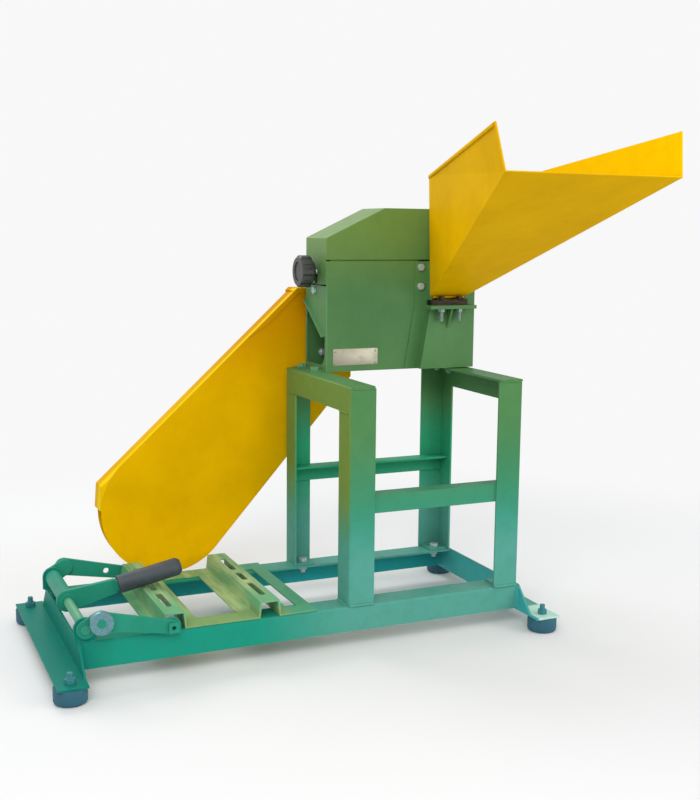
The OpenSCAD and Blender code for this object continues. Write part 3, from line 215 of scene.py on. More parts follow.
def enamel(name, main, shade, tints=(), gloss=0.42, grime=0.5, shine=0.22, ripples=5.5, stretch=(1, 1, 1)):
    """Sprayed enamel: colour drift between two tones, thin paler edges, a fine orange-peel bump, rubbed
    patches and dust specks. Each tint is a colour and the stretches along axes where it comes in. The drift
    is slow, or streaky where its ripples are stretched."""
    cloud_share = 0.10
    soil_share = 0.20 * grime
    worn_share = 0.40
    speck_share = 0.35 * grime
    peel_rise = 0.4
    cloud_rise = 0.6
    cloud_rough = 0.16
    soil_rough = 0.12
    worn_rough = 0.10
    f = Finish(name)
    drift = f.noise(scale=ripples, detail=3.0, stretch=stretch).above(start=0.32, end=0.68)
    cloud = f.noise(scale=38.0, detail=5.0, rough=0.6, shift=(3.1, 0.7, 1.9))
    base = f.mix(drift, main, shade)
    for colour, *stretches in tints:
        amount = 1.0
        for axis, start, end in stretches:
            amount = f.along(axis).above(start, end) * amount
        base = f.mix(amount, base, colour)
    base = f.mix(cloud.above(start=0.42, end=0.66) * cloud_share, base, toned(shade, share=0.82))
    soil = f.noise(scale=14.0, detail=6.0, rough=0.65, shift=(8.0, 1.0, 4.0)).above(start=0.60, end=0.80)
    base = f.mix(soil * soil_share, base, SOIL)
    edges = f.edges(radius=0.0012)
    rubbed = f.noise(scale=90.0, detail=4.0, rough=0.6, shift=(2.0, 2.0, 7.0)).above(start=0.40, end=0.62)
    worn = edges * rubbed
    base = f.mix(worn * worn_share, base, toned(main, share=0.6, lift=92))
    specks = f.noise(scale=520.0, detail=2.0, rough=0.5, shift=(1.0, 9.0, 2.0)).above(start=0.74, end=0.80)
    base = f.mix(specks * speck_share, base, SPECK)
    peel = f.noise(scale=700.0, detail=2.0, rough=0.5)
    f.bump(peel * peel_rise + cloud * cloud_rise, strength=0.10, depth=0.0006)
    rough = cloud * cloud_rough + (gloss - cloud_rough / 2) + soil * soil_rough + worn * worn_rough
    f.set(Base_Color=base, Roughness=rough, Metallic=0.0, Specular_IOR_Level=shine)
    return f.material


def bright_metal(name, tone, dull, rough=0.28, lines=(1, 1, 1), metal=0.92, span=None, paint=(0, 0, 0)):
    """Plated or ground metal: fine lines or grain in its tone and roughness, dull finger marks, and an
    optional stretch of height in another colour: paint over it on some pieces, painted shadow on others.
    Clouded plating is less metallic."""
    marks_share = 0.35
    bare_share = 0.5
    grain_rough = 0.14
    marks_rough = 0.16
    paint_rough = 0.2
    paint_metal = 0.07
    f = Finish(name)
    grain = f.noise(scale=420.0, detail=3.0, rough=0.6, stretch=lines)
    marks = f.noise(scale=45.0, detail=4.0, rough=0.6, shift=(2.0, 5.0, 1.0)).above(start=0.48, end=0.72)
    base = f.mix(grain.above(start=0.3, end=0.7), tone, dull)
    base = f.mix(marks * marks_share, base, dull)
    base = f.mix(f.edges(radius=0.0008) * bare_share, base, toned(tone, share=0.7, lift=70))
    f.bump(grain, strength=0.12, depth=0.0003)
    shine = grain * grain_rough + marks * marks_rough + (rough - grain_rough / 2)
    if span:
        over = f.along("Z").above(*span)
        base = f.mix(over, base, paint)
        shine = shine + over * paint_rough
        metal = metal - over * (metal - paint_metal)
    f.set(Base_Color=base, Metallic=metal, Roughness=shine)
    return f.material


def cast_iron(name, tone, dark):
    """Cast and turned iron: coarse grain bump with darker pits and a brown cast here and there."""
    rust_share = 0.45
    pit_share = 0.5
    pit_rise = -0.6
    grain_rough = 0.2
    smoothest = 0.40
    f = Finish(name)
    grain = f.noise(scale=260.0, detail=5.0, rough=0.65)
    pits = f.noise(scale=900.0, detail=2.0, rough=0.5, shift=(4.0, 4.0, 4.0)).above(start=0.62, end=0.72)
    rust = f.noise(scale=22.0, detail=5.0, rough=0.65, shift=(1.0, 7.0, 3.0)).above(start=0.56, end=0.76)
    base = f.mix(grain, dark, tone)
    base = f.mix(rust * rust_share, base, RUST)
    base = f.mix(pits * pit_share, base, PIT)
    f.bump(grain + pits * pit_rise, strength=0.35, depth=0.0008)
    f.set(Base_Color=base, Metallic=0.55, Roughness=grain * grain_rough + smoothest)
    return f.material


def moulded(name, tone, worn, rough, depth, scale):
    """Moulded rubber or plastic: fine grain, slightly greyed where it was rubbed."""
    rub_share = 0.35
    dust_share = 0.15
    rub_rough = 0.12
    f = Finish(name)
    grain = f.noise(scale=scale, detail=3.0, rough=0.6)
    rub = f.noise(scale=30.0, detail=5.0, rough=0.6, shift=(2.0, 3.0, 8.0)).above(start=0.50, end=0.75)
    dust = f.noise(scale=300.0, detail=4.0, rough=0.7, shift=(6.0, 1.0, 2.0)).above(start=0.60, end=0.78)
    base = f.mix(grain, tone, worn)
    base = f.mix(rub * rub_share + dust * dust_share, base, toned(worn, share=1, lift=26))
    f.bump(grain, strength=0.30, depth=depth)
    f.set(Base_Color=base, Metallic=0.0, Roughness=rub * rub_rough + rough)
    return f.material


# Colours of the frame, which run from leaf green at the top to sea green near the floor; the sea green paints
# the cool cast of shade in the lower half
LEAF = (88, 136, 82)
DARK_LEAF = (74, 126, 76)
# Painted cool shade: the sea green that the frame turns to towards the floor
SEA = (26, 144, 122)
PALE_SEA = (84, 156, 142)
DEEP_SEA = (12, 122, 108)
# Painted bounce light: bluer and brighter on the shaded inside of the rear rail
RAIL_INSIDE_BOUNCE_LIGHT = (42, 160, 162)
# Painted bounce light: bluer and brighter on the shaded inside of the right crossbar
CROSSBAR_INSIDE_BOUNCE_LIGHT = (66, 168, 168)
# Painted fill light: the rear posts' colour, lifted where they stand in shade
REAR_POST_FILL_LIGHT = (44, 152, 110)
LEVER_SEA = (44, 146, 120)
# Painted highlight: pale mint on the right crossbar's flange at the front foot
FOOT_FLANGE_HIGHLIGHT = (186, 222, 210)
OLIVE = (108, 136, 64)

# In order: all pieces downwards, as painted cool shade; the rear posts, as painted fill light in their shade;
# the right half;
# the left end; the inside of the rear rail and the inside of the right crossbar, as painted blue bounce light
# in their shade;
# its flange at the front foot, as a painted highlight; and the outer side of the left posts
frame_enamel = enamel("frame_enamel", main=LEAF, shade=DARK_LEAF, shine=0.05, tints=(
    (SEA, ("Z", 0.42, 0.12)),
    (REAR_POST_FILL_LIGHT, ("Y", 0.15, 0.19), ("Z", 0.42, 0.30)),
    (PALE_SEA, ("Z", 0.27, 0.14), ("X", -0.16, 0.06)),
    (DEEP_SEA, ("X", -0.38, -0.46)),
    (RAIL_INSIDE_BOUNCE_LIGHT, ("Y", 0.200, 0.236), ("Y", 0.243, 0.2415), ("Z", 0.076, 0.073), ("X", -0.436, -0.430),
     ("X", 0.3815, 0.380)),
    (CROSSBAR_INSIDE_BOUNCE_LIGHT, ("X", 0.372, 0.378), ("X", 0.382, 0.381), ("Z", 0.076, 0.073)),
    (FOOT_FLANGE_HIGHLIGHT, ("X", 0.3835, 0.385), ("Y", -0.06, -0.07), ("Z", 0.042, 0.036)),
    (OLIVE, ("X", 0.0325, 0.0305), ("Z", 0.16, 0.30))))
# Painted light: paler towards the hood's top, lit from above, and painted fill light on the shaded lower left
# wall
casing_enamel = enamel("casing_enamel", main=(80, 126, 74), shade=(70, 116, 66), tints=(
    ((107, 141, 70), ("Z", 0.60, 0.75)),
    ((90, 138, 90), ("X", 0.076, 0.0735), ("Z", 0.66, 0.60))))
# Streaked along the bars, and greener at their front ends, on the front strap, to the left and to the right
carriage_enamel = enamel("carriage_enamel", main=(178, 198, 138), shade=(116, 166, 118), grime=1.0,
                         shine=0.05, ripples=55.0, stretch=(1, 0.12, 1), tints=(
    ((108, 170, 124), ("Y", 0.06, -0.05), ("Z", 0.088, 0.094)),
    ((124, 158, 104), ("Y", 0.00, -0.03), ("Z", 0.094, 0.088)),
    ((84, 156, 112), ("X", -0.26, -0.34)),
    ((84, 158, 122), ("X", -0.10, -0.06))))
lever_enamel = enamel("lever_enamel", main=LEVER_SEA, shade=(32, 132, 108), grime=0.7, shine=0.10)
# Painted shade deepening the top near the casing, painted light brightening the round end, and painted light
# in lemon along the up-facing front of the cover
chute_enamel = enamel("chute_enamel", main=(228, 176, 0), shade=(216, 166, 0), gloss=0.5, grime=0.15,
                      shine=0.01, tints=(
    ((206, 142, 0), ("Z", 0.40, 0.60)),
    ((250, 188, 0), ("Z", 0.26, 0.08)),
    ((240, 200, 0), ("Y", 0.2660, 0.2672), ("Y", 0.296, 0.284))))
# Painted light brightening the inside of the right wall's top, and painted shadow, near black, where the
# hopper lies on the counter blade
GAP_SHADOW = (34, 29, 20)
GAP_SHADOW_TOP = 0.6088
GAP_SHADOW_FADE = 0.001
hopper_enamel = enamel("hopper_enamel", main=(230, 178, 0), shade=(220, 168, 0), gloss=0.5, grime=0.15,
                       shine=0.008, tints=(
    ((246, 200, 0), ("Z", 0.820, 0.835), ("X", 0.36, 0.42)),
    (GAP_SHADOW, ("Z", GAP_SHADOW_TOP, GAP_SHADOW_TOP - GAP_SHADOW_FADE))))
zinc = bright_metal("zinc_plate", tone=(222, 228, 232), dull=(186, 192, 192), rough=0.34, metal=0.5)
painted_bolts = enamel("painted_bolts", main=(66, 138, 142), shade=(50, 120, 126), shine=0.2)
# Counter blade bolts: the colour over their heads is painted shadow, near black, in the gap under the hopper
blade_bolt_zinc = bright_metal("blade_bolt_zinc", tone=(150, 172, 162), dull=(104, 128, 116), rough=0.38,
                               metal=0.5, span=(0.602, 0.604), paint=(38, 33, 26))
casing_bolt_zinc = bright_metal("casing_bolt_zinc", tone=(190, 214, 206), dull=(146, 176, 164), metal=0.25,
                                span=(0.50, 0.49), paint=(92, 152, 104))
shaft_enamel = enamel("shaft_enamel", main=(112, 174, 140), shade=(80, 150, 114), grime=0.8, tints=(
    (LEVER_SEA, ("Y", -0.0655, -0.0668)),))
collar_steel = bright_metal("collar_steel", tone=(120, 160, 168), dull=(94, 138, 146), rough=0.42,
                            lines=(1, 6, 1))
# Counter blade: steel darkened to near-black brown as painted shadow of the gap under the hopper
shadowed_blade_steel = bright_metal("shadowed_blade_steel", tone=(66, 56, 46), dull=(36, 32, 28), rough=0.46,
                           lines=(0.2, 1, 1))
tool_steel = bright_metal("tool_steel", tone=(150, 150, 152), dull=(92, 90, 88), rough=0.36,
                          lines=(0.2, 1, 1))
wheel_iron = cast_iron("wheel_iron", tone=(104, 106, 108), dark=(58, 60, 62))
foot_rubber = moulded("foot_rubber", tone=(20, 74, 92), worn=(34, 96, 114), rough=0.62, depth=0.0006,
                      scale=500.0)
grip_foam = moulded("grip_foam", tone=(44, 50, 54), worn=(68, 76, 82), rough=0.55, depth=0.0010,
                    scale=620.0)
knob_plastic = moulded("knob_plastic", tone=(36, 38, 36), worn=(62, 66, 62), rough=0.42, depth=0.0004,
                       scale=700.0)
plate_metal = bright_metal("plate_metal", tone=(178, 174, 156), dull=(152, 148, 130), rough=0.44,
                           lines=(1, 1, 14))

finishes = {
    "frame_paint": frame_enamel,
    "casing_paint": casing_enamel,
    "carriage_paint": carriage_enamel,
    "yellow_paint": chute_enamel,
    "zinc_plate": zinc,
    "tool_steel": tool_steel,
    "wheel_iron": wheel_iron,
    "foot_rubber": foot_rubber,
    "grip_plastic": grip_foam,
    "knob_plastic": knob_plastic,
}
# Nodes whose finish differs from the rest of their slot
special = {
    "hopper": hopper_enamel,
    "shaft_collars": collar_steel,
    "counter_blade": shadowed_blade_steel,
    "counter_blade_bolts": blade_bolt_zinc,
    "casing_bolts": casing_bolt_zinc,
    "lever_shaft": shaft_enamel,
    "foot_bolts": painted_bolts,
}
LEVER_NODES = ("lever_bar", "crank_arms", "front_link", "rear_link", "crank_pins", "carriage_lugs",
               "lug_pins")
special.update(dict.fromkeys(LEVER_NODES, lever_enamel))

# Softened edges of the folded sheets, the angle iron and the moulded pieces, in millimetres
EDGE = {"hopper": 0.7, "chute": 0.7, "hood": 2.4, "knob": 1.8, "lever_grip": 1.6, "rubber_feet": 1.2,
        "flywheel": 1.2, "bearing_housing": 1.4}
PLAIN_EDGE = 0.8
SMALL_EDGE = 0.4
SHARP = ("bearings", "inner_rings", "rotor_key", "hinge_pin", "knife_bolts")
EDGE_SEGMENTS = 2
EDGE_ANGLE = math.radians(32)
MERGE_REACH = 0.00001
FLAT_ANGLE = math.radians(0.4)


def finish_nodes():
    """Gives every carried-over node its paint or metal and merged flat faces, and all but the sharp ones a
    small rounded edge.
    """
    slot_of = {part["node"]: part["material_slot"] for part in frame["record"]["subparts"]}
    for name, node in nodes.items():
        node.data.materials.clear()
        node.data.materials.append(special.get(name, finishes[slot_of[name]]))
        weld = node.modifiers.new("merge", "WELD")
        weld.merge_threshold = MERGE_REACH
        flat = node.modifiers.new("flatten", "DECIMATE")
        flat.decimate_type = "DISSOLVE"
        flat.angle_limit = FLAT_ANGLE
        if name not in SHARP:
            edge = node.modifiers.new("edge", "BEVEL")
            fastener = name.endswith(("bolts", "pins"))
            edge.width = MM * EDGE.get(name, SMALL_EDGE if fastener else PLAIN_EDGE)
            edge.segments = EDGE_SEGMENTS
            edge.limit_method = "ANGLE"
            edge.angle_limit = EDGE_ANGLE
            edge.use_clamp_overlap = True
            edge.harden_normals = True


finish_nodes()


# Surfaces from arrays

SMOOTH_ANGLE = math.radians(38)
STEEP = 0.9


def piece_of(name, grids, material, body):
    """Several grids of machine points as one closed piece at the origin, smooth apart from sharp edges.

    Each grid has its rings along the first axis and runs round along the second; its two ends are flat."""
    points = []
    faces = []
    start = 0
    for grid in grids:
        rings, columns = grid.shape[:2]
        index = start + np.arange(rings * columns).reshape(rings, columns)
        after = np.roll(index, -1, axis=1)
        faces += np.stack([index[:-1], after[:-1], after[1:], index[1:]], axis=-1).reshape(-1, 4).tolist()
        faces += [index[0, ::-1].tolist(), index[-1].tolist()]
        points.append(spot(*grid.reshape(-1, 3)))
        start += rings * columns
    mesh = bpy.data.meshes.new(name)
    mesh.from_pydata(np.concatenate(points).tolist(), [], faces)
    mesh.materials.append(material)
    mesh.update()
    mesh.shade_smooth()
    mesh.set_sharp_from_angle(angle=SMOOTH_ANGLE)
    made = placed(name, mesh)
    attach(made, body)


def circle(sides):
    """Angles evenly round one turn."""
    return np.linspace(0, 2 * math.pi, sides, endpoint=False)


def frame_of(direction):
    """Two unit vectors square to a direction."""
    d = np.asarray(direction, float)
    d = d / np.linalg.norm(d)
    helper = np.array([0, 0, 1.0]) if abs(d[2]) < STEEP else np.array([1.0, 0, 0])
    side = np.cross(d, helper)
    side = side / np.linalg.norm(side)
    return side, np.cross(d, side)


def ring_about(direction, sides):
    """Unit vectors evenly round a direction: cosine times one square vector plus sine times the other."""
    side, up = frame_of(direction)
    turn = circle(sides)
    return np.cos(turn)[:, None] * side + np.sin(turn)[:, None] * up


# A bead's points per step, its radius between two swells and at its ends, as shares of the full radius
BEAD_POINTS = 6
BEAD_LOW = 0.86
BEAD_END = 0.35


def bead(start, end, radius, step=3.4, sides=8):
    """A weld bead: a tube along a straight line whose radius swells once per step, like laid coins."""
    a = np.asarray(start, float)
    b = np.asarray(end, float)
    length = np.linalg.norm(b - a)
    t = np.linspace(0, 1, max(BEAD_POINTS, int(length / step * BEAD_POINTS)))
    swell = radius * (BEAD_LOW + (1 - BEAD_LOW) * np.abs(np.sin(math.pi * t * length / step)))
    swell[[0, -1]] *= BEAD_END
    return a + t[:, None, None] * (b - a) + swell[:, None, None] * ring_about(b - a, sides)[None]


def revolve(centre, axis, profile, sides):
    """A profile of (radius, height) pairs turned about an axis through a centre."""
    d = np.asarray(axis, float) / np.linalg.norm(axis)
    r = np.array(profile, float)
    ring = ring_about(d, sides)[None]
    return np.asarray(centre, float) + r[:, 0, None, None] * ring + r[:, 1, None, None] * d


# The stand's sizes, as in the part's source
STAND_W = 348.2
STAND_D = 310.7
ANGLE_T = 4.0
RAIL_LEFT = -469.8
RAIL_RIGHT = 350.2

# Beads at each post, as start and end from its outer corner and radius: two at its foot, two at the top bar
# and one at the mid rail
POST_BEADS = (((2, -0.6, 0.6), (49, -0.6, 0.6), 2.3),
              ((-0.6, 6, 0.6), (-0.6, 46, 0.6), 2.3),
              ((-0.4, 8, 345), (-0.4, 46, 345), 1.6),
              ((6, -0.3, 388), (48, -0.3, 388), 1.6),
              ((50.3, 4.4, 166), (50.3, 4.4, 195), 2.0))
# Beads at each rail's end: one down its web and one across its top
RAIL_BEAD_OUT = 0.4
RAIL_BEAD_LOW = -44
RAIL_BEAD_HIGH = -3
RAIL_BEAD_R = 2.2
TOP_BEAD_INSET = 6
TOP_BEAD_RUN = 40
TOP_BEAD_R = 1.8
# Beads on both sides of each pivot ear
EAR_IN = 8
EAR_MIDDLE = RAIL_LEFT + EAR_IN
EAR_HALF = 16
EAR_NEAR = 2.0
EAR_FAR = 8.0
EAR_BEAD_Z = 0.5
EAR_BEAD_R = 2.0


def at_post(point, right, rear):
    """A point given from a post's outer corner, mirrored to the right or the rear post."""
    x, y, z = point
    return STAND_W - x if right else x, STAND_D - y if rear else y, z


def frame_welds():
    """Beads at the post feet, the mid rails, the top bars and the rail ends."""
    grids = []
    for right in (False, True):
        for rear in (False, True):
            for start, end, radius in POST_BEADS:
                grids.append(bead(at_post(start, right, rear), at_post(end, right, rear), radius))
    front_end = (-RAIL_BEAD_OUT, TOP_BEAD_INSET)
    rear_end = (STAND_D + RAIL_BEAD_OUT, STAND_D - TOP_BEAD_INSET - TOP_BEAD_RUN)
    for x in (RAIL_LEFT, RAIL_RIGHT):
        for out, y in (front_end, rear_end):
            grids.append(bead((x, out, RAIL_BEAD_LOW), (x, out, RAIL_BEAD_HIGH), RAIL_BEAD_R))
            grids.append(bead((x, y, RAIL_BEAD_OUT), (x, y + TOP_BEAD_RUN, RAIL_BEAD_OUT), TOP_BEAD_R))
    piece_of("frame_welds", grids, frame_enamel, "frame")


def pivot_welds():
    """Beads where the pivot ears stand on the rails."""
    left = EAR_MIDDLE - EAR_HALF
    right = EAR_MIDDLE + EAR_HALF
    grids = []
    for y in (EAR_NEAR, EAR_FAR, STAND_D - EAR_FAR, STAND_D - EAR_NEAR):
        grids.append(bead((left, y, EAR_BEAD_Z), (right, y, EAR_BEAD_Z), EAR_BEAD_R))
    piece_of("pivot_welds", grids, frame_enamel, "frame")


# A thread's points per pitch, the height of its ripple, the narrowing at its tip, the small radius that
# closes its ends, and its sides
THREAD_POINTS = 8
THREAD_RIPPLE = 0.28
THREAD_TIP = 1.0
THREAD_CLOSE = 0.05
THREAD_SIDES = 24


def thread(centre, axis, radius, length, pitch=1.5):
    """A threaded length: a cylinder whose radius ripples once per pitch, rounded off at its tip."""
    h = np.linspace(0, length, max(THREAD_POINTS, int(length / pitch * THREAD_POINTS)))
    r = radius + THREAD_RIPPLE * np.cos(2 * math.pi * h / pitch)
    r[-1] = radius - THREAD_TIP
    profile = [(THREAD_CLOSE, 0), *zip(r, h), (THREAD_CLOSE, length)]
    return revolve(centre, axis, profile, THREAD_SIDES)


# Places and sizes of the fasteners' threads, as in the part's source
FOOT_OUT = 26
FOOT_SPREAD = 202
FOOT_X = (RAIL_LEFT - FOOT_OUT, RAIL_RIGHT + FOOT_OUT)
FOOT_Y = (STAND_D / 2 - FOOT_SPREAD, STAND_D / 2 + FOOT_SPREAD)
FOOT_STUD_Z = -37.9
FOOT_STUD_R = 4.6
FOOT_STUD = 10.0
POST_BOLT_IN = 22
POST_BOLT = ANGLE_T + POST_BOLT_IN
POST_TIP_Z = -12.2
POST_TIP_R = 5.0
POST_TIP = 6.2
BLADE_MIDDLE = 289
BLADE_SPREAD = 19.5
BLADE_X = (BLADE_MIDDLE - BLADE_SPREAD, BLADE_MIDDLE + BLADE_SPREAD)
BLADE_FRONT = 166.4
BLADE_BOLT_IN = 9
BLADE_Y = BLADE_FRONT + BLADE_BOLT_IN
BLADE_TIP_Z = 504.4
BLADE_TIP_R = 4.0
BLADE_TIP = 17.8
BLADE_PITCH = 1.25


def fastener_trim():
    """Threaded ends on the foot bolts, which are painted over, and on the post and counter blade bolts."""
    feet = [thread((x, y, FOOT_STUD_Z), UP, FOOT_STUD_R, FOOT_STUD) for x in FOOT_X for y in FOOT_Y]
    piece_of("foot_threads", feet, painted_bolts, "frame")
    post_x = (POST_BOLT, STAND_W - POST_BOLT)
    post_y = (POST_BOLT, STAND_D - POST_BOLT)
    posts = [thread((x, y, POST_TIP_Z), DOWN, POST_TIP_R, POST_TIP) for x in post_x for y in post_y]
    piece_of("fastener_threads", posts, zinc, "frame")
    blade = [thread((x, BLADE_Y, BLADE_TIP_Z), DOWN, BLADE_TIP_R, BLADE_TIP, BLADE_PITCH) for x in BLADE_X]
    piece_of("blade_threads", blade, blade_bolt_zinc, "frame")


# The hopper's corners, as in the part's source
HOP_MID = 287.8
LIP_HALF = 166.4
LIP_Y = -286.4
LIP_Z = 748.1
WALL_FLARE = 9.3
WALL_BACK = 17
WALL_RISE = 74.5
TOP_HALF = LIP_HALF + WALL_FLARE
TOP_Y = LIP_Y + WALL_BACK
TOP_Z = LIP_Z + WALL_RISE
REAR_HALF = 46.0
REAR_Y = 184.0
LEFT_REAR_Z = 765.0
RIGHT_REAR_Z = 735.8
# Width and thickness of the hems, and how far they stay from the walls' tips and sides
TOP_HEM = (7, 3.4)
FRONT_HEM = (5, 3.2)
LIP_HEM = (6, 3.2)
LIP_HEM_RISE = 1
HEM_SHORT = 9.5
HEM_INSET = 2.1
HEM_POINTS = 24
HEM_SIDES = 16
HEM_OUT = 0.15


def hem(start, end, size, outward, hang):
    """A folded hem: a flat oval carried along a straight edge, leaning outward and hanging down from it."""
    a = np.asarray(start, float)
    b = np.asarray(end, float)
    width, thick = size
    t = np.linspace(0, 1, HEM_POINTS)
    out = np.asarray(outward, float)
    rise = -np.asarray(hang, float)
    way = np.sign(np.dot(np.cross(out, rise), b - a))
    turn = way * circle(HEM_SIDES)
    oval = np.cos(turn)[:, None] * out * thick / 2 + (np.sin(turn)[:, None] - 1.0) * rise * width / 2
    return a + t[:, None, None] * (b - a) + oval[None] + out * thick * HEM_OUT


def hopper_hems():
    """Folded hems along the wall tops, which stop short of the tips, along the wall fronts and the lip."""
    grids = []
    for sign, rear_z in ((-1, LEFT_REAR_Z), (1, RIGHT_REAR_Z)):
        top = np.array([HOP_MID + sign * TOP_HALF, TOP_Y, TOP_Z])
        rear = np.array([HOP_MID + sign * REAR_HALF, REAR_Y, rear_z])
        foot = np.array([HOP_MID + sign * LIP_HALF, LIP_Y, LIP_Z])
        inset = np.array([-sign * HEM_INSET, 0, 0])
        end = top + (rear - top) * HEM_SHORT / np.linalg.norm(rear - top)
        grids.append(hem(rear, end, TOP_HEM, (sign, 0, 0), DOWN))
        grids.append(hem(foot + inset, top + inset, FRONT_HEM, (sign, 0, 0), BACKWARD))
    left, right = ((HOP_MID + sign * LIP_HALF, LIP_Y, LIP_Z + LIP_HEM_RISE) for sign in (-1, 1))
    grids.append(hem(left, right, LIP_HEM, DOWN, BACKWARD))
    piece_of("hopper_hems", grids, hopper_enamel, "frame")


# The bare plate on the front panel: its middle, half sizes and corners, the inset and depth of its three
# rings, and its rivets
PLATE_MIDDLE = np.array([104.0, 212.0, 419.5])
PLATE_HALF_X = 47
PLATE_HALF_Z = 16
PLATE_CORNER = 2.5
PLATE_POINTS = 96
PLATE_RINGS = ((0.0, 0.0), (0.0, 0.7), (0.5, 1.0))
RIVET_X = (-42, 42)
RIVET_Z = (-11, 11)
RIVET_R = 2.2
RIVET_BASE = 1.0
RIVET_RISE = 1.2
RIVET_POINTS = 6
RIVET_OPEN = 0.05
RIVET_SIDES = 16


def plate_ring(inset, depth):
    """A rounded rectangle by angle: each corner's middle plus its radius times cosine and sine."""
    turn = circle(PLATE_POINTS)
    c = np.cos(turn)
    s = np.sin(turn)
    x = np.sign(c) * (PLATE_HALF_X - inset - PLATE_CORNER) + PLATE_CORNER * c
    z = np.sign(s) * (PLATE_HALF_Z - inset - PLATE_CORNER) + PLATE_CORNER * s
    return PLATE_MIDDLE + np.stack([x, np.full_like(x, -depth), z], axis=-1)


def bare_plate():
    """A thin bare plate riveted to the front panel: three rings of one rounded outline and four domes."""
    grids = [np.stack([plate_ring(inset, depth) for inset, depth in PLATE_RINGS])]
    climb = np.linspace(0, math.pi / 2 - RIVET_OPEN, RIVET_POINTS)
    dome = np.stack([RIVET_R * np.cos(climb), RIVET_BASE + RIVET_RISE * np.sin(climb)], axis=-1)
    for x in RIVET_X:
        for z in RIVET_Z:
            grids.append(revolve(PLATE_MIDDLE + [x, 0, z], FORWARD, dome, RIVET_SIDES))
    piece_of("bare_plate", grids, plate_metal, "frame")


# The casing's seam under the hood, as in the part's source
PLATE_INSIDE = 214.5
CASE_MIDDLE = 264.0
SEAM_LOW = 601.5
STRIP_LEFT = 51.0
STRIP_FRONT_END = 238.0
STRIP_REAR_END = 338.0
# Depth behind the plate and height above its edge, round the strip; the step keeps the hood's wall free
STRIP_PROFILE = np.array([(-0.1, -6.5), (1.2, -6.5), (1.2, 3.7), (0.4, 3.7), (0.4, -0.3), (-0.1, -0.7)])


def seam_strips():
    """Strips behind the gap under the hood, front and back: one stepped profile carried along X."""
    grids = []
    for way, end in ((1, STRIP_FRONT_END), (-1, STRIP_REAR_END)):
        y = CASE_MIDDLE + way * (PLATE_INSIDE - CASE_MIDDLE + STRIP_PROFILE[:, 0])
        z = SEAM_LOW + STRIP_PROFILE[:, 1]
        rings = [np.stack([np.full_like(y, x), y, z], axis=-1) for x in (STRIP_LEFT, end)]
        grids.append(np.stack(rings[::way]))
    piece_of("seam_strips", grids, casing_enamel, "frame")


# The chute's slope and round end in X and Z, as in the part's source
CHUTE_TOP = np.array([31.0, 546.0])
CHUTE_END = np.array([-236.0, 124.0])
CHUTE_END_R = 128.0
COVER_SUNK = 4.5
COVER_PAST = 58.0
FLAP_LENGTH = 44.0
FLAP_LEAN = math.radians(4)
# Each web starts that far along the cover, past the round end's tangent, and lies within its wall
FRONT_WEB_START = 33.0
FRONT_WEB_Y = (333.2, 334.0)
REAR_WEB_START = 12.0
REAR_WEB_Y = (380.0, 380.8)
# How far the webs reach into the cover, the flap and the round wall, their least width, and their points
# along the cover and the flap
WEB_IN_COVER = 0.5
WEB_IN_FLAP = np.array([1.5, 0])
WEB_IN_WALL = 1.5
WEB_LEAST = 1.0
WEB_FIRST = 0.06
WEB_POINTS = 12


def flap_webs():
    """Thin webs that close the corners between the chute's round walls, its sunken cover and its flap: radial
    lines from just inside the round edge out to the cover and then to the flap. The rear wall lies lower."""
    reach = CHUTE_TOP - CHUTE_END
    far = np.linalg.norm(reach)
    slope = math.atan2(reach[1], reach[0]) - math.asin(CHUTE_END_R / far)
    down = np.array([-math.cos(slope), -math.sin(slope)])
    inward = np.array([math.sin(slope), -math.cos(slope)])
    sunk = CHUTE_TOP + down * math.sqrt(far ** 2 - CHUTE_END_R ** 2) + inward * COVER_SUNK
    hang = -np.array([math.sin(FLAP_LEAN), math.cos(FLAP_LEAN)])
    t = np.linspace(WEB_FIRST, 1, WEB_POINTS)[:, None]
    flap = sunk + down * COVER_PAST + WEB_IN_FLAP + hang * FLAP_LENGTH * t
    front = (CHUTE_END, FRONT_WEB_START, FRONT_WEB_Y)
    rear = (CHUTE_END + inward * COVER_SUNK, REAR_WEB_START, REAR_WEB_Y)
    inner_r = CHUTE_END_R - WEB_IN_WALL
    grids = []
    for centre, start, depths in (front, rear):
        cover = sunk + inward * WEB_IN_COVER + down * (start + (COVER_PAST - start) * t)
        radial = np.concatenate([cover, flap]) - centre
        distance = np.linalg.norm(radial, axis=1, keepdims=True)
        inner = centre + radial / distance * inner_r
        outer = centre + radial / distance * np.maximum(distance, inner_r + WEB_LEAST)
        near, deep = (np.full(len(radial), y) for y in depths)
        corners = ((inner, near), (outer, near), (outer, deep), (inner, deep))
        grids.append(np.stack([np.stack([p[:, 0], y, p[:, 1]], axis=-1) for p, y in corners], axis=1))
    piece_of("flap_webs", grids, chute_enamel, "frame")


frame_welds()
pivot_welds()
fastener_trim()
hopper_hems()
bare_plate()
seam_strips()
flap_webs()


# Floor, light and camera

FLOOR_TONE = (0.80, 0.80, 0.80, 1.0)
FLOOR_FADE = (0.75, 1.7)
FLOOR_REACH = np.array([0.02, 0.8, 1.8])[:, None]
FLOOR_SIDES = 64
SHOWN_TONE = (0.94, 0.94, 0.94, 1)
LIGHT_TONE = (0.96, 0.98, 1.0, 1)
LIGHT_LEVEL = 0.74


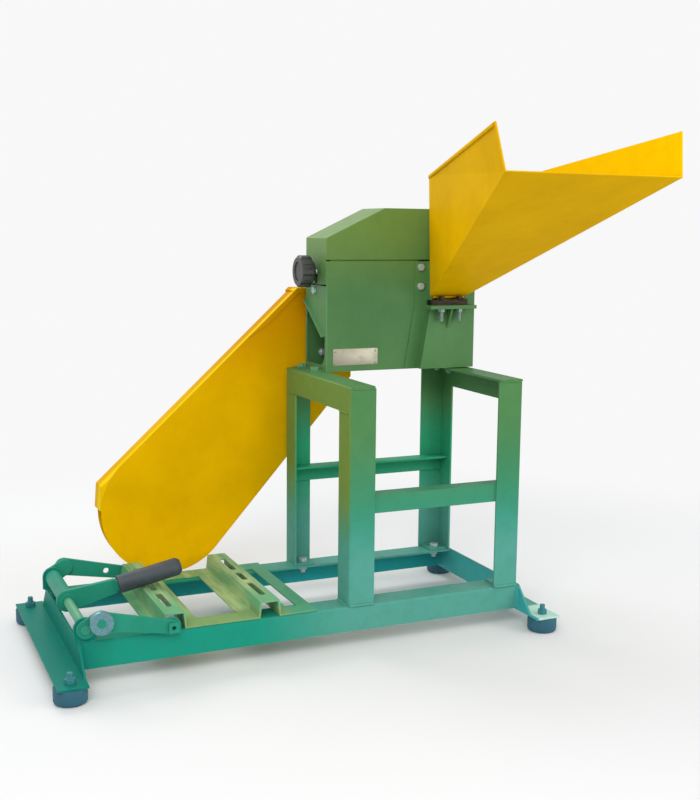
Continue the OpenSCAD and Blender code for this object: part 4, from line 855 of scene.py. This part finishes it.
def studio_floor():
    """A pale floor that fades into the backdrop away from the machine: rings at three distances."""
    f = Finish("studio_floor")
    f.set(Base_Color=FLOOR_TONE, Roughness=0.9, Specular_IOR_Level=0.05)
    clear = f.node("ShaderNodeBsdfTransparent")
    length = f.node("ShaderNodeVectorMath", {"operation": "LENGTH"}, f.where)
    fade = Value(f, length.outputs["Value"]).above(*FLOOR_FADE)
    shader = f.node("ShaderNodeMixShader", None, fade, f.shader.outputs[0], clear.outputs[0])
    f.feed(f.output.inputs["Surface"], shader.outputs[0])
    turn = circle(FLOOR_SIDES)
    x = FLOOR_REACH * np.cos(turn)
    y = FLOOR_REACH * np.sin(turn)
    points = np.stack([x, y, np.zeros_like(x)], axis=-1)
    index = np.arange(x.size).reshape(x.shape)
    after = np.roll(index, -1, axis=1)
    faces = np.stack([index[:-1], index[1:], after[1:], after[:-1]], axis=-1).reshape(-1, 4).tolist()
    faces.append(index[0].tolist())
    mesh = bpy.data.meshes.new("studio_floor")
    mesh.from_pydata(points.reshape(-1, 3).tolist(), [], faces)
    mesh.materials.append(f.material)
    floor = placed("studio_floor", mesh)


def studio_world():
    """Even white surroundings: near white to the camera and to reflections, softer as light."""
    world = bpy.data.worlds.new("studio")
    bpy.context.scene.world = world
    world.use_nodes = True
    n = Nodes(world.node_tree)
    shown = n.node("ShaderNodeBackground", None, SHOWN_TONE, 1.0)
    light = n.node("ShaderNodeBackground", None, LIGHT_TONE, LIGHT_LEVEL)
    path = n.node("ShaderNodeLightPath")
    seen = sum(Value(n, path.outputs[f"Is {kind} Ray"]) for kind in ("Camera", "Glossy", "Transmission"))
    mixer = n.node("ShaderNodeMixShader", None, seen, light.outputs[0], shown.outputs[0])
    n.node("ShaderNodeOutputWorld", None, mixer.outputs[0])


def turned(x, y, z, place):
    """A matrix from three axes and a place."""
    matrix = np.eye(4)
    matrix[:3] = np.stack([x, y, z, place], axis=1)
    return Matrix(matrix.tolist())


def lamp(name, place, target, size, power, tone=(1.0, 1.0, 1.0)):
    """A square soft box at a row point, turned to a target."""
    data = bpy.data.lights.new(name, "AREA")
    data.shape = "SQUARE"
    data.size = size
    data.energy = power
    data.color = tone
    back = np.array(place, float) - np.array(target, float)
    back = back / np.linalg.norm(back)
    up = frame_of(back)[1]
    placed(name, data).matrix_world = turned(up, np.cross(back, up), back, place)


# The photo's viewpoint: its place in the machine's frame, its turns in radians and its lens
CAMERA_PLACE = (-794.136, -1783.917, 657.469)
CAMERA_YAW = 0.41858
CAMERA_PITCH = 0.14607
CAMERA_ROLL = 0.0096
CAMERA_LENS = 51.57
CAMERA_SENSOR = 36.0
CAMERA_REACH = 50


def studio_camera():
    """A camera that is yawed to the right, pitched down and slightly rolled."""
    level = math.cos(CAMERA_PITCH)
    ahead = np.array([math.sin(CAMERA_YAW) * level, math.cos(CAMERA_YAW) * level, -math.sin(CAMERA_PITCH)])
    side = np.array([math.cos(CAMERA_YAW), -math.sin(CAMERA_YAW), 0.0])
    up = np.cross(side, ahead)
    right = math.cos(CAMERA_ROLL) * side + math.sin(CAMERA_ROLL) * up
    top = -math.sin(CAMERA_ROLL) * side + math.cos(CAMERA_ROLL) * up
    data = bpy.data.cameras.new("camera")
    data.lens = CAMERA_LENS
    data.sensor_width = CAMERA_SENSOR
    data.sensor_fit = "AUTO"
    data.clip_end = CAMERA_REACH
    camera = placed("camera", data)
    camera.matrix_world = turned(right, top, -ahead, spot(CAMERA_PLACE)[0])
    bpy.context.scene.camera = camera


studio_floor()
studio_world()
lamp("key_box", place=(-1.3, -2.2, 2.3), target=(0.0, 0.0, 0.4), size=1.6, power=41.0, tone=(1.0, 0.99, 0.97))
lamp("fill_box", place=(2.2, -1.8, 1.2), target=(0.1, 0.0, 0.5), size=1.8, power=26.0)
lamp("rim_box", place=(-0.6, 2.0, 2.2), target=(0.0, 0.2, 0.5), size=1.6, power=26.0)
studio_camera()
bpy.context.scene.view_settings.view_transform = "Standard"
